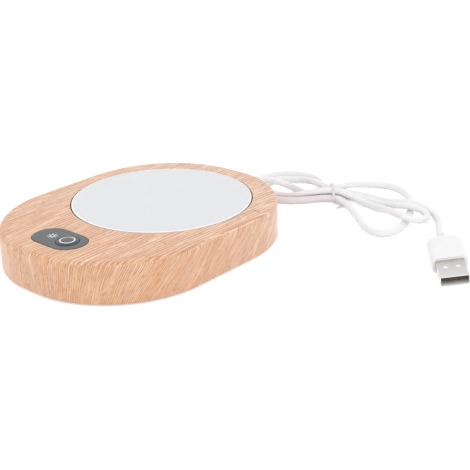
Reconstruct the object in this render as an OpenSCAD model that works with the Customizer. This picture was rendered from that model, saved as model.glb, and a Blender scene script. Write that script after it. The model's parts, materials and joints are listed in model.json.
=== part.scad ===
// Electric mug warmer: a low wood-grain housing with a round heating plate, a button panel
// and a USB lead that lies tied in a hank beside it.
// Millimetres, +Z up. The origin is on the surface under the middle of the housing; the
// button panel is at the -Y end and the lead leaves at the +Y end.

/* [Housing] */
// Length of the housing, from the button end to the cord end
body_length = 129; // [120:1:160]
// Width of the housing
body_width = 101.4; // [97:0.2:130]
// Height of the housing without its feet
body_height = 17.8; // [17:0.1:26]
// Radius of the rounded corners in plan
corner_radius = 47.2; // [30:0.1:47.6]
// Radius of the soft edge round the top
edge_radius = 2.8; // [0.5:0.1:4]
// Thickness of the side wall
side_wall = 2.2; // [1.6:0.1:3]
// Thickness of the top wall
top_wall = 2.2; // [1.8:0.1:3]
// Thickness of the bottom cover
cover_thickness = 2; // [1.5:0.1:3]

/* [Feet] */
// Diameter of a rubber foot
foot_d = 10; // [6:0.5:12]
// How far the feet stand out of the bottom cover
foot_proud = 0.8; // [0.4:0.1:3]
// Depth of the recess that a foot is glued in
foot_recess = 0.8; // [0.4:0.1:1]

/* [Heating plate] */
// Diameter of the heating plate
plate_d = 82; // [70:0.5:83]
// Distance from the plate's centre to the lead end of the housing
plate_inset = 51.8; // [51:0.1:54]
// Thickness of the plate
plate_thickness = 1.5; // [1:0.1:2.5]
// How far the plate stands above the housing
plate_proud = 0.2; // [0:0.1:1]
// Gap between the plate and the housing all round
plate_gap = 0.5; // [0.3:0.1:1]
// Thickness of the gasket under the plate's edge
gasket_thickness = 1; // [0.6:0.1:1.5]
// Width of the ledge that carries the gasket
ledge_width = 3.5; // [3:0.1:5]
// Thickness of that ledge
ledge_thickness = 1.6; // [1.2:0.1:2.5]
// Thickness of the heater film
film_thickness = 0.3; // [0.2:0.1:0.6]
// Thickness of the steel backing plate
backing_thickness = 0.8; // [0.5:0.1:1.5]
// Diameter of the plate's threaded studs
stud_d = 3; // [2:0.5:4]
// Radius of the circle that the studs stand on
stud_circle = 30; // [24:0.5:32]

/* [Button panel] */
// Width of the button panel
panel_width = 27.4; // [24:0.1:30]
// Depth of the button panel
panel_depth = 16.3; // [15:0.1:18]
// Distance from the panel's centre to the button end of the housing
panel_inset = 17.3; // [16:0.1:18]
// Thickness of the panel
panel_thickness = 1.3; // [1:0.1:1.6]
// Diameter of the power button
button_d = 9.8; // [8:0.1:11]
// Distance of the button to the right of the panel's centre
button_x = 4.9; // [4:0.1:6]
// Distance of the indicator to the left of the panel's centre
indicator_x = 4.7; // [4:0.1:7]
// How far the button stands above the panel at its middle
button_dome = 0.7; // [0.4:0.1:1.5]
// Travel of the button
button_travel = 0.4; // [0.2:0.05:0.5]

/* [Control board] */
// Width of the control board
board_width = 40; // [38:1:44]
// Depth of the control board
board_depth = 22; // [21:1:23]
// Thickness of the control board
board_thickness = 1.2; // [0.8:0.1:1.6]

/* [Cord and plug] */
// Diameter of the cord
cord_d = 3.4; // [3:0.1:3.4]
// Height of the cord's exit above the surface
exit_height = 8.2; // [8:0.1:9]
// Length of the strain relief outside the housing
relief_length = 16; // [12:0.5:18]
// Length of the plug's metal shell that stands out of its grip
shell_length = 12.4; // [11.5:0.1:13]
// Length of the plug's grip
grip_length = 18; // [15:0.5:20]
// Width of the plug's grip
grip_width = 15; // [14:0.5:16]
// Thickness of the plug's grip
grip_thickness = 7.6; // [7:0.1:8.2]

/* [Hidden] */
$fn = 64;
eps = 0.01;     // cuts run this far past a face
joint = 0.5;    // posts run this far into the wall that they grow from
fit = 0.05;     // radial clearance of a screw, pin or cord in its hole
slip = 0.2;     // clearance round a part that drops into a recess

corner_centre = [body_width / 2 - corner_radius, body_length / 2 - corner_radius];

// heights, from the surface up
base_z = foot_proud;
cover_top = base_z + cover_thickness;
top_z = base_z + body_height;
ceiling_z = top_z - top_wall;
through = 3 * body_height;     // length of a cut through every layer

// heating plate stack, from the top down
plate_y = body_length / 2 - plate_inset;
plate_r = plate_d / 2;
opening_r = plate_r + plate_gap;
ledge_r = opening_r - ledge_width;
ledge_outer_r = opening_r + 2.5;
plate_top = top_z + plate_proud;
plate_bottom = plate_top - plate_thickness;
ledge_top = plate_bottom - gasket_thickness;
ledge_bottom = ledge_top - ledge_thickness;
film_bottom = plate_bottom - film_thickness;
backing_bottom = ledge_bottom - backing_thickness;
backing_r = ledge_r + 3;
film_r = ledge_r - 1.5;
film_lead_slot = [8, 7];       // slot in pad and backing plate for the heater's leads
film_lead_y = plate_y - stud_circle + 1;
sensor_hole_r = 2.5;
stud_angles = [90, 210, 330];
stud_clearance = 0.2;
nut_height = 2;
nut_r = 3.2;
stud_end = backing_bottom - nut_height - 0.6;
thermistor_r = 1.6;
thermistor_height = 3;
fuse_r = 1.2;
fuse_length = 9;
fuse_place = [15, plate_y - 7, backing_bottom - fuse_r - 0.1];
fuse_lead_r = 0.4;

// button stack, from the top down
panel_y = body_length / 2 - panel_inset;
panel_top = top_z + 0.1;
panel_bottom = panel_top - panel_thickness;
panel_end_r = panel_depth / 2;
panel_slip = 0.15;
boss_bottom = ceiling_z - 2;   // the top wall is thicker under the panel
button_r = button_d / 2;
flange_r = button_r + 1;
flange_thickness = 0.8;
flange_top = panel_bottom - 0.1;
flange_bottom = flange_top - flange_thickness;
seal_thickness = 0.35;
pocket_floor = flange_bottom - button_travel - seal_thickness - fit;
pocket_r = flange_r + 0.3;
stem_r = 2.2;
stem_end = boss_bottom - 0.1;
guide_r = 2;

// control board
plunger_r = 1.7;
plunger_height = 0.8;          // part of the switch's plunger that stands out of it
switch_size = [6, 6, 3.5];
board_top = stem_end - plunger_height - switch_size.z;
board_bottom = board_top - board_thickness;
board_y = -panel_y + 0.5;
board_post_r = 2.6;
board_post_x = board_width / 2 - 3.5;
board_post_y = board_depth / 2 - 3;
led_size = [3.5, 2.8, 1.9];
chip_size = [4, 9, 1.5];
chip_place = [6.5 - board_width / 2, board_y];
transistor_place = [board_width / 2 - 6, board_y];
capacitor_r = 2;
capacitor_height = 3.7;
capacitor_x = board_post_r + capacitor_r + 1.4 - board_post_x;
capacitor_step = 6;

// screws: shank radius, head radius, head height
screw_shank_r = 1.1;
screw_head_r = 2.2;
screw_head_h = 1.2;
cover_boss_r = 3.2;
cover_screw_depth = 7;
board_screw_depth = 4;
cover_gap = 0.25;              // between the bottom cover and the side wall
rear_boss_angle = 45;
rear_boss_way = [cos(rear_boss_angle), sin(rear_boss_angle)];
plate_from_corner = [0, plate_y] - corner_centre;
// from the plate's centre to the inside of the corner, along the rear bosses' way
rear_room = sqrt(pow(plate_from_corner * rear_boss_way, 2) - plate_from_corner * plate_from_corner
    + pow(corner_radius - side_wall, 2)) - plate_from_corner * rear_boss_way;
// midway between the backing plate and the edge of the cover
rear_boss_reach = (backing_r + cover_boss_r + rear_room - cover_gap - screw_head_r - slip) / 2;
cover_screw_inset = 14;
cover_screw_angle = 34;
cover_screw_places = [
    for (s = [-1, 1]) by_corner(s, -1, cover_screw_angle, cover_screw_inset),
    for (s = [-1, 1]) [s * rear_boss_reach * rear_boss_way.x, plate_y + rear_boss_reach * rear_boss_way.y]
];
foot_inset = 10;
front_foot_angle = 52;
rear_foot_angle = 62;
foot_places = [
    for (s = [-1, 1]) by_corner(s, -1, front_foot_angle, foot_inset),
    for (s = [-1, 1]) by_corner(s, 1, rear_foot_angle, foot_inset)
];

// a place so far inside the outer face of one rounded corner; x and y are -1 or 1
function by_corner(x, y, angle, inset) = [
    x * (corner_centre.x + (corner_radius - inset) * cos(angle)),
    y * (corner_centre.y + (corner_radius - inset) * sin(angle))];

// cord, strain relief and clamp
cord_r = cord_d / 2;
end_y = body_length / 2;
inner_end_y = end_y - side_wall;
clamp_y = inner_end_y - 6;
clamp_post_x = 6.5;
clamp_post_r = 2.6;
clamp_bar = [2 * (clamp_post_x + clamp_post_r), 5, 2];
clamp_pad = [5, 4];            // block over the cord that the clamp presses it against
clamp_top = exit_height - cord_r;
cord_start_y = clamp_y - 5;
relief_neck_r = 3.5;
relief_cone_r = 3.3;
relief_flange_r = 4.6;
relief_start_y = inner_end_y - 1.8;

// plug: its mouth's centre stands at plug_tip, and the shell's lowest corner is on the surface
plug_heading = -50;
plug_tilt = 8.5;
plug_roll = 187;               // it lies upside down, with its tongue uppermost
shell_width = 12;
shell_height = 4.5;
shell_sheet = 0.3;
shell_inside = 4;              // length of the shell inside the grip
grip_round = 2.4;
neck_length = 4;
neck_r = 2.8;
plug_tip = [132.3, 47.1, cos(plug_tilt) * (shell_width / 2 * abs(sin(plug_roll)) + shell_height / 2)];
tongue_thickness = 1.9;
tongue_back = 0.6;             // the tongue ends this far behind the shell's mouth
tongue_bottom = shell_sheet + fit - shell_height / 2;
contact_width = 1;
contact_height = 0.15;
contact_rows = [[-3.5, 7.4], [-1, 6.4], [1, 6.4], [3.5, 7.4]]; // sideways place and length

// a point on the plug's axis, so far behind the mouth
function plug_axis(back) = plug_tip - back * [
    cos(plug_tilt) * cos(plug_heading), cos(plug_tilt) * sin(plug_heading), -sin(plug_tilt)];
plug_end = shell_length + grip_length + neck_length;

// the cord's route: control points of a smooth curve, from the clamp to the plug
cord_route = concat(
    [for (y = [cord_start_y, clamp_y + 5, end_y + 7, end_y + relief_length]) [0, y, exit_height]],
    [[0, 89, 6.5], [4, 96, 2.8], [12, 97, 1.7], [20, 93, 1.7], [26, 93.5, 1.9],
     [31, 96.5, 2.3], [36, 100, 2.3],
     [43, 105.2, 1.9], [53.5, 104.8, 1.8], [64, 100.6, 3.4], [71.5, 98.6, 6], [77.8, 102.4, 5.6],
     [84.9, 103, 4.2], [89.6, 97.4, 3.6], [87.8, 90.4, 4], [80.9, 87.6, 6], [73.5, 90.2, 5.8],
     [67, 94.5, 3.9], [57.5, 99.3, 2], [48.5, 100.9, 2.2], [43.3, 99.3, 4.4],
     [38, 98.5, 5.7], [32.5, 95.5, 5.7],
     [27, 90.5, 4.9], [20.5, 85.5, 2.6], [11, 82.5, 1.7], [0, 85.5, 1.7], [-6, 95, 1.7], [-2, 105, 1.7],
     [9, 108.5, 2.2], [20, 104.5, 4.6],
     [29, 98.5, 5.6], [35, 101, 5.6],
     [38, 107, 6.5], [36.5, 116, 3.5], [40, 126, 1.7], [51, 130, 1.7], [62, 123.5, 1.7],
     [70.5, 114, 1.7], [76, 103.5, 1.7], [80.5, 93.5, 1.7], [83.5, 83, 1.7], [82.5, 74, 1.7],
     [75, 71.5, 1.7], [67, 76.5, 1.7], [58, 84.5, 1.7], [48, 92.5, 1.9],
     [39, 97, 2.3], [33.5, 94.5, 2.3],
     [27, 86, 1.9], [18, 77.5, 1.7], [5, 76.5, 1.7], [-7, 83, 1.7], [-13, 96, 1.7],
     [-10, 109, 1.7], [1, 117, 1.7], [12, 115, 1.7], [21, 107.5, 1.9],
     [28.5, 101.3, 2.3], [34.5, 103.3, 2.3],
     [42, 109, 1.9], [53, 109, 1.7], [63.5, 105.7, 3], [72.5, 103.8, 6.1], [79.5, 107, 5.6],
     [87, 107.2, 2.8], [93.6, 101, 1.7], [98.8, 91.5, 1.7], [104.5, 82, 4.5]],
    [plug_axis(plug_end + 4), plug_axis(plug_end - 2)]);
cord_rings = 80;

// the tie round the hank
tie_centre = [33.8, 98.6];
tie_angle = 41.5;              // direction of the cord's strands through the tie
tie_width = 1.2;
tie_thickness = 0.45;
tie_gap = 0.1;
tie_strands = [[-4.5, 2.4], [5.2, 2.4], [-2.6, 5.8], [2.3, 5.7]]; // the outer strands: sideways, height
tie_tail = [[38.2, 93.7, 1.8], [39.5, 93.7, 1.3], [41.5, 93.6, 1], [43.8, 93.2, 0.9], [44.2, 91, 0.9],
            [43.8, 88.3, 0.9]];

// leads inside the housing
lead_r = 0.6;
sensor_lead_r = 0.45;
board_pad_y = board_y + board_depth / 2 - 1.6;
lead_land_z = board_top + lead_r;
lead_floor_z = cover_top + lead_r + 2.2;
lead_pair = 0.8;               // half the distance between the two leads of a pair
power_pad_x = 10;
sensor_pad_x = 4.9;
heater_pad_x = 0;

function between(a, b, share) = a + (b - a) * share;

// ---- shared shapes ----

// plan of the housing, so far inside its outer face
module body_outline(inset = 0) {
    r = corner_radius - inset;
    w = body_width / 2 - inset;
    l = body_length / 2 - inset;
    square([2 * (w - r), 2 * l], center = true);
    square([2 * w, 2 * (l - r)], center = true);
    for (x = [-1, 1], y = [-1, 1]) translate([x * (w - r), y * (l - r)]) circle(r, $fn = 128);
}

// one corner of the housing as a disc with a soft top edge
module corner_disc() {
    steps = 5;
    rotate_extrude($fn = 72) polygon(concat(
        [[0, base_z], [corner_radius, base_z]],
        [for (i = [0 : steps]) let (a = 90 * i / steps)
            [corner_radius - edge_radius * (1 - cos(a)), top_z - edge_radius * (1 - sin(a))]],
        [[0, top_z]]));
}

// capsule outline of the button panel
module panel_outline(grow = 0) {
    r = panel_end_r + grow;
    x = panel_width / 2 - panel_end_r;
    translate([0, -panel_y]) {
        square([2 * x, 2 * r], center = true);
        for (s = [-1, 1]) translate([s * x, 0]) circle(r);
    }
}

// a pan-head screw that points up, with its head's underside at z = 0
module screw_up(length) {
    cylinder(h = length, r = screw_shank_r, $fn = 32);
    translate([0, 0, -screw_head_h]) difference() {
        cylinder(h = screw_head_h, r = screw_head_r, $fn = 32);
        for (a = [0, 90]) rotate(a) translate([-1.3, -0.25, -eps]) cube([2.6, 0.5, 0.6]);
    }
}

// point of a uniform cubic B-spline; t runs from 0 to the number of spans
function on_route(p, t) =
    let (n = len(p), k = min(floor(t), n - 2), u = t - k,
         a = k == 0 ? 2 * p[0] - p[1] : p[k - 1],
         d = k + 2 > n - 1 ? 2 * p[n - 1] - p[n - 2] : p[k + 2])
    (pow(1 - u, 3) * a + (3 * pow(u, 3) - 6 * u * u + 4) * p[k]
     + (-3 * pow(u, 3) + 3 * u * u + 3 * u + 1) * p[k + 1] + pow(u, 3) * d) / 6;

function unit(v) = v / norm(v);

// a round lead of radius r along the route p, as one closed tube of so many rings and sides
module swept_lead(p, r, rings, sides = 8) {
    span = len(p) - 1;
    at = [for (i = [0 : rings - 1]) span * i / (rings - 1)];
    points = [for (t = at)
        let (here = on_route(p, t),
             way = unit(on_route(p, min(t + 0.05, span)) - on_route(p, max(t - 0.05, 0))),
             side = unit(cross(way, [0, 0, 1])),
             up = cross(side, way))
        for (j = [0 : sides - 1]) let (a = 360 * (j + 0.5) / sides)
            here + r * (cos(a) * side + sin(a) * up)];
    walls = [for (i = [0 : rings - 2], j = [0 : sides - 1])
        let (k = (j + 1) % sides, a = i * sides, b = a + sides)
        each [[a + j, a + k, b + k], [a + j, b + k, b + j]]];
    polyhedron(points, concat(
        walls, [[for (j = [sides - 1 : -1 : 0]) j]],
        [[for (j = [0 : sides - 1]) (rings - 1) * sides + j]]));
}

module place_plug() {
    translate(plug_tip) rotate([0, 0, plug_heading]) rotate([0, plug_tilt, 0]) rotate([plug_roll, 0, 0])
        children();
}

// rounded section of the plug, in its YZ plane, drawn forwards along +X
module plug_section(width, height, round, length) {
    rotate([90, 0, 90]) linear_extrude(length) {
        square([width - 2 * round, height], center = true);
        square([width, height - 2 * round], center = true);
        for (x = [-1, 1], y = [-1, 1])
            translate([x * (width / 2 - round), y * (height / 2 - round)]) circle(round, $fn = 32);
    }
}

// ---- housing, cover and feet ----

module housing() {
    color([0.88, 0.73, 0.60]) difference() {
        union() {
            difference() {
                hull() for (x = [-1, 1], y = [-1, 1])
                    translate([x * corner_centre.x, y * corner_centre.y, 0]) corner_disc();
                translate([0, 0, base_z - eps]) linear_extrude(ceiling_z - base_z + eps)
                    body_outline(side_wall);
            }
            // ledge under the plate, thicker wall under the panel
            translate([0, plate_y, ledge_bottom])
                cylinder(h = ceiling_z - ledge_bottom + joint, r = ledge_outer_r, $fn = 128);
            translate([0, 0, boss_bottom]) linear_extrude(ceiling_z - boss_bottom + joint) panel_outline(2);
            // posts for the cover, the board and the clamp
            for (p = cover_screw_places)
                translate([p.x, p.y, cover_top])
                    cylinder(h = ceiling_z - cover_top + joint, r = cover_boss_r);
            for (x = [-1, 1], y = [-1, 1])
                translate([x * board_post_x, board_y + y * board_post_y, board_top])
                    cylinder(h = ceiling_z - board_top + joint, r = board_post_r);
            for (x = [-1, 1])
                translate([x * clamp_post_x, clamp_y, clamp_top])
                    cylinder(h = ceiling_z - clamp_top + joint, r = clamp_post_r);
            translate([-clamp_pad.x / 2, clamp_y - clamp_pad.y / 2, exit_height + cord_r])
                cube([clamp_pad.x, clamp_pad.y, ceiling_z - exit_height - cord_r + joint]);
        }
        // opening for the plate, with its ledge left standing
        translate([0, plate_y, ledge_top]) cylinder(h = top_wall + 5, r = opening_r, $fn = 128);
        translate([0, plate_y, ledge_bottom - 1]) cylinder(h = ledge_thickness + 2, r = ledge_r, $fn = 128);
        // recess for the panel, pocket for the button's flange, holes for its stem and the light guide
        translate([0, 0, panel_bottom]) linear_extrude(panel_thickness + 1) panel_outline(panel_slip);
        translate([button_x, -panel_y, pocket_floor]) cylinder(h = 5, r = pocket_r);
        translate([button_x, -panel_y, boss_bottom - 1]) cylinder(h = 5, r = stem_r + 0.3, $fn = 32);
        translate([-indicator_x, -panel_y, boss_bottom - 1]) cylinder(h = 5, r = guide_r + fit, $fn = 32);
        // pilot holes
        for (p = cover_screw_places)
            translate([p.x, p.y, cover_top - eps])
                cylinder(h = cover_screw_depth, r = screw_shank_r + fit, $fn = 32);
        for (x = [-1, 1], y = [-1, 1])
            translate([x * board_post_x, board_y + y * board_post_y, board_top - eps])
                cylinder(h = board_screw_depth, r = screw_shank_r + fit, $fn = 32);
        for (x = [-1, 1])
            translate([x * clamp_post_x, clamp_y, clamp_top - eps])
                cylinder(h = board_screw_depth, r = screw_shank_r + fit, $fn = 32);
        // hole for the strain relief
        translate([0, inner_end_y - 1, exit_height]) rotate([-90, 0, 0])
            cylinder(h = side_wall + 2, r = relief_neck_r + fit, $fn = 48);
    }
}

module bottom_cover() {
    vent = [14, 2];
    vent_x = 13;
    vent_pitch = 6;
    color([0.86, 0.84, 0.80]) difference() {
        translate([0, 0, base_z]) linear_extrude(cover_thickness) body_outline(side_wall + cover_gap);
        for (p = cover_screw_places) translate([p.x, p.y, base_z - eps]) {
            cylinder(h = screw_head_h + 0.1, r = screw_head_r + slip, $fn = 48);
            cylinder(h = cover_thickness + 1, r = screw_shank_r + fit, $fn = 32);
        }
        for (p = foot_places)
            translate([p.x, p.y, base_z - eps]) cylinder(h = foot_recess + eps, r = foot_d / 2 + fit);
        for (x = [-1, 1], i = [-2 : 2])
            translate([x * vent_x - vent.x / 2, i * vent_pitch - vent.y / 2, base_z - 1])
                cube([vent.x, vent.y, cover_thickness + 2]);
    }
}

module rubber_feet() {
    color([0.16, 0.16, 0.17]) for (p = foot_places)
        translate([p.x, p.y, 0]) rotate_extrude() polygon([
            [0, 0], [foot_d / 2 - 0.3, 0], [foot_d / 2, 0.3],
            [foot_d / 2, foot_proud + foot_recess], [0, foot_proud + foot_recess]]);
}

module cover_screws() {
    color("silver") for (p = cover_screw_places)
        translate([p.x, p.y, base_z + screw_head_h + 0.09])
            screw_up(cover_thickness - screw_head_h + cover_screw_depth - 1);
}

// ---- heating plate ----

module on_studs() {
    translate([0, plate_y, 0]) for (a = stud_angles) rotate(a) translate([stud_circle, 0, 0]) children();
}

// holes for the studs, the sensor and the heater's leads through a layer under the plate
module layer_holes() {
    on_studs() cylinder(h = through, r = stud_d / 2 + stud_clearance, center = true, $fn = 32);
    translate([0, plate_y, 0]) cylinder(h = through, r = sensor_hole_r, center = true, $fn = 32);
    translate([0, film_lead_y, 0]) cube([film_lead_slot.x, film_lead_slot.y, through], center = true);
}

module heating_plate() {
    rim = 0.25;
    color([0.90, 0.90, 0.91]) {
        translate([0, plate_y, 0]) rotate_extrude($fn = 128) polygon([
            [0, plate_bottom], [plate_r - rim, plate_bottom], [plate_r, plate_bottom + rim],
            [plate_r, plate_top - rim], [plate_r - rim, plate_top], [plate_r - 0.9, plate_top],
            [plate_r - 1.1, plate_top - 0.15], [0, plate_top - 0.15]]);
        on_studs() translate([0, 0, stud_end])
            cylinder(h = plate_bottom - stud_end + rim, r = stud_d / 2, $fn = 32);
    }
}

module plate_gasket() {
    color([0.15, 0.15, 0.16]) translate([0, plate_y, ledge_top]) difference() {
        cylinder(h = gasket_thickness, r = opening_r - fit, $fn = 128);
        translate([0, 0, -1]) cylinder(h = gasket_thickness + 2, r = ledge_r + 0.4, $fn = 128);
    }
}

module heater_film() {
    color([0.80, 0.50, 0.15]) difference() {
        translate([0, plate_y, film_bottom]) cylinder(h = film_thickness, r = film_r, $fn = 128);
        on_studs() cylinder(h = through, r = stud_d / 2 + stud_clearance, center = true, $fn = 32);
    }
}

module insulation_pad() {
    color([0.93, 0.92, 0.88]) difference() {
        translate([0, plate_y, ledge_bottom])
            cylinder(h = film_bottom - ledge_bottom, r = film_r, $fn = 128);
        layer_holes();
    }
}

module backing_plate() {
    color([0.72, 0.73, 0.75]) difference() {
        translate([0, plate_y, backing_bottom]) cylinder(h = backing_thickness, r = backing_r, $fn = 128);
        layer_holes();
    }
}

module stud_nuts() {
    color("silver") on_studs() translate([0, 0, backing_bottom - nut_height]) difference() {
        cylinder(h = nut_height, r = nut_r, $fn = 6);
        translate([0, 0, -1]) cylinder(h = nut_height + 2, r = stud_d / 2 + fit, $fn = 32);
    }
}

module thermistor() {
    color([0.20, 0.22, 0.25])
        translate([0, plate_y, film_bottom - thermistor_height])
            cylinder(h = thermistor_height, r = thermistor_r, $fn = 32);
}

module thermal_fuse() {
    color([0.82, 0.80, 0.74]) translate(fuse_place) rotate([0, 90, 0]) {
        cylinder(h = fuse_length, r = fuse_r, center = true, $fn = 32);
        cylinder(h = fuse_length + 10, r = fuse_lead_r, center = true, $fn = 24);
    }
}

module fuse_clip() {
    clip = [4, 8, 2 * fuse_r + 0.9];
    color([0.75, 0.76, 0.78]) translate(fuse_place) difference() {
        translate([-clip.x / 2, -clip.y / 2, backing_bottom - fuse_place.z - clip.z]) cube(clip);
        rotate([0, 90, 0]) cylinder(h = clip.x + 2, r = fuse_r + fit, center = true, $fn = 32);
        translate([-clip.x, -fuse_r - fit, 0]) cube([2 * clip.x, 2 * (fuse_r + fit), 2 * fuse_r]);
    }
}

// ---- control board ----

module control_board() {
    color([0.05, 0.35, 0.20]) difference() {
        translate([-board_width / 2, board_y - board_depth / 2, board_bottom])
            cube([board_width, board_depth, board_thickness]);
        for (x = [-1, 1], y = [-1, 1])
            translate([x * board_post_x, board_y + y * board_post_y, board_bottom - 1])
                cylinder(h = board_thickness + 2, r = screw_shank_r + fit, $fn = 32);
    }
}

module board_screws() {
    color("silver") for (x = [-1, 1], y = [-1, 1])
        translate([x * board_post_x, board_y + y * board_post_y, board_bottom])
            screw_up(board_thickness + board_screw_depth - 1);
}

module controller_chip() {
    pin = [1, 0.4, 0.2];
    pin_pitch = 1.27;
    pin_x = chip_size.x / 2 + pin.x / 2 - 0.1;
    color([0.10, 0.10, 0.11]) {
        translate([chip_place.x, chip_place.y, board_top + chip_size.z / 2]) cube(chip_size, center = true);
        for (s = [-1, 1], i = [-3 : 3])
            translate([chip_place.x + s * pin_x, chip_place.y + i * pin_pitch, board_top + pin.z / 2])
                cube(pin, center = true);
    }
}

module power_transistor() {
    color([0.12, 0.12, 0.13]) translate([transistor_place.x, transistor_place.y, board_top]) {
        translate([-3.2, -3, 0]) cube([6.4, 6, 2.3]);
        translate([-2.6, 2.9, 0]) cube([5.2, 1.4, 0.5]);
        for (x = [-2.2, 2.2]) translate([x - 0.4, -4.6, 0]) cube([0.8, 1.7, 0.5]);
    }
}

module board_capacitors() {
    color([0.75, 0.76, 0.79]) for (i = [0, 1])
        translate([capacitor_x + i * capacitor_step, board_y + board_depth / 2 - 3.4, board_top])
            rotate_extrude($fn = 48)
            polygon([[0, 0], [capacitor_r, 0], [capacitor_r, capacitor_height - 0.3],
                     [capacitor_r - 0.25, capacitor_height], [0, capacitor_height]]);
}

module board_resistors() {
    resistor = [1.6, 0.8, 0.5];
    color([0.15, 0.15, 0.16]) for (i = [0 : 4])
        translate([-2.5 + 2.6 * i, board_y - board_depth / 2 + 1.6, board_top]) cube(resistor);
}

module tact_switch() {
    color([0.20, 0.20, 0.21]) translate([button_x, -panel_y, board_top]) difference() {
        translate([-switch_size.x / 2, -switch_size.y / 2, 0]) cube(switch_size);
        translate([0, 0, switch_size.z - 1]) cylinder(h = 2, r = plunger_r + 0.15, $fn = 32);
    }
}

// the switch's own plunger, pressed by the button's stem
module switch_plunger() {
    color([0.85, 0.83, 0.78]) translate([button_x, -panel_y, stem_end - plunger_height - 0.5])
        cylinder(h = plunger_height + 0.5, r = plunger_r, $fn = 32);
}

module indicator_led() {
    color([0.95, 0.90, 0.55])
        translate([-indicator_x, -panel_y, board_top + led_size.z / 2]) cube(led_size, center = true);
}

module light_guide() {
    color([0.88, 0.92, 0.95]) translate([-indicator_x, -panel_y, board_top + led_size.z + 0.1])
        cylinder(h = panel_bottom - board_top - led_size.z - 0.1, r = guide_r, $fn = 32);
}

// ---- panel and button ----

module button_panel() {
    color([0.26, 0.29, 0.31]) difference() {
        translate([0, 0, panel_bottom]) linear_extrude(panel_thickness) panel_outline();
        translate([button_x, -panel_y, panel_bottom - 1])
            cylinder(h = panel_thickness + 2, r = button_r + slip);
    }
}

module power_button() {
    steps = 8;
    flatness = 4;              // power of the dome's curve: a flat top with a steep edge
    color([0.30, 0.33, 0.35]) translate([button_x, -panel_y, 0]) rotate_extrude() polygon(concat(
        [[0, stem_end], [stem_r, stem_end], [stem_r, flange_bottom], [flange_r, flange_bottom],
         [flange_r, flange_top], [button_r, flange_top]],
        [for (i = [0 : steps]) let (r = button_r * (1 - i / steps))
            [r, panel_top + button_dome * (1 - pow(r / button_r, flatness))]]));
}

module button_seal() {
    color([0.55, 0.56, 0.58]) translate([button_x, -panel_y, pocket_floor]) difference() {
        cylinder(h = seal_thickness, r = pocket_r - 0.2);
        translate([0, 0, -1]) cylinder(h = seal_thickness + 2, r = stem_r + 0.8, $fn = 32);
    }
}

// ---- cord entry ----

module strain_relief() {
    color([0.95, 0.95, 0.95]) translate([0, 0, exit_height]) rotate([-90, 0, 0]) difference() {
        rotate_extrude() polygon([
            [0, relief_start_y], [relief_flange_r, relief_start_y],
            [relief_flange_r, inner_end_y - fit], [relief_neck_r, inner_end_y - fit],
            [relief_neck_r, end_y], [relief_flange_r, end_y],
            [relief_flange_r, end_y + 1.2], [relief_cone_r, end_y + 1.6],
            [cord_r + 0.6, end_y + relief_length], [0, end_y + relief_length]]);
        translate([0, 0, relief_start_y - 1])
            cylinder(h = end_y + relief_length - relief_start_y + 2, r = cord_r + fit, $fn = 32);
    }
}

module cord_clamp() {
    color([0.20, 0.20, 0.21]) difference() {
        translate([-clamp_bar.x / 2, clamp_y - clamp_bar.y / 2, clamp_top - clamp_bar.z]) cube(clamp_bar);
        for (x = [-1, 1]) translate([x * clamp_post_x, clamp_y, clamp_top - clamp_bar.z - 1])
            cylinder(h = clamp_bar.z + 2, r = screw_shank_r + fit, $fn = 32);
    }
}

module clamp_screws() {
    color("silver") for (x = [-1, 1])
        translate([x * clamp_post_x, clamp_y, clamp_top - clamp_bar.z])
            screw_up(clamp_bar.z + board_screw_depth - 1);
}

// ---- leads inside the housing ----

// each step: share of the way back to the board, share of the way sideways to its pad, height
power_lead_steps = [
    [0, 0, exit_height], [0.07, 0, exit_height], [0.15, 0.1, lead_floor_z], [0.3, 0.4, lead_floor_z],
    [0.48, 0.6, lead_floor_z], [0.66, 0.9, lead_floor_z], [0.81, 1, lead_floor_z + 2],
    [0.9, 1, lead_land_z + 0.8], [0.97, 1, lead_land_z], [1, 1, lead_land_z]];
module power_leads() {
    for (s = [-1, 1]) color(s > 0 ? "firebrick" : [0.12, 0.12, 0.12])
        swept_lead([for (k = power_lead_steps)
            [s * lead_pair + between(0, power_pad_x, k[1]),
             between(cord_start_y - 2 * fit, board_pad_y - 1.5, k[0]), k[2]]], lead_r, 28);
}

heater_lead_steps = [
    [0, film_bottom - 0.9], [0.05, film_bottom - 1.4], [0.12, backing_bottom - 0.5],
    [0.28, backing_bottom - 3], [0.6, lead_land_z + 0.6], [0.9, lead_land_z], [1, lead_land_z]];
module heater_leads() {
    color([0.92, 0.92, 0.90]) for (s = [-1, 1])
        swept_lead([for (k = heater_lead_steps)
            [s * between(2, lead_pair, k[0]) + heater_pad_x,
             between(film_lead_y + 2, board_pad_y - 1.5, k[0]), k[1]]], lead_r, 18);
}

sensor_lead_start = film_bottom - thermistor_height - sensor_lead_r - fit;
sensor_lead_steps = [
    [0, 0, sensor_lead_start], [0.03, 0.08, sensor_lead_start - 0.6], [0.15, 0.4, backing_bottom - 3],
    [0.36, 0.9, backing_bottom - 4], [0.58, 1, backing_bottom - 4], [0.84, 1, lead_land_z + 0.6],
    [0.96, 1, lead_land_z], [1, 1, lead_land_z]];
module sensor_leads() {
    color([0.30, 0.30, 0.32]) for (s = [-1, 1])
        swept_lead([for (k = sensor_lead_steps)
            [s * lead_pair + between(0, sensor_pad_x, k[1]),
             between(plate_y + 0.5, board_pad_y - 0.8, k[0]), k[2]]], sensor_lead_r, 22);
}

// ---- cord, tie and plug ----

module cord() {
    color([0.96, 0.96, 0.96]) swept_lead(cord_route, cord_r, cord_rings);
}

module tie_loop_outline(grow) {
    hull() for (p = tie_strands) translate(p) circle(cord_r + grow, $fn = 24);
}

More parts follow.
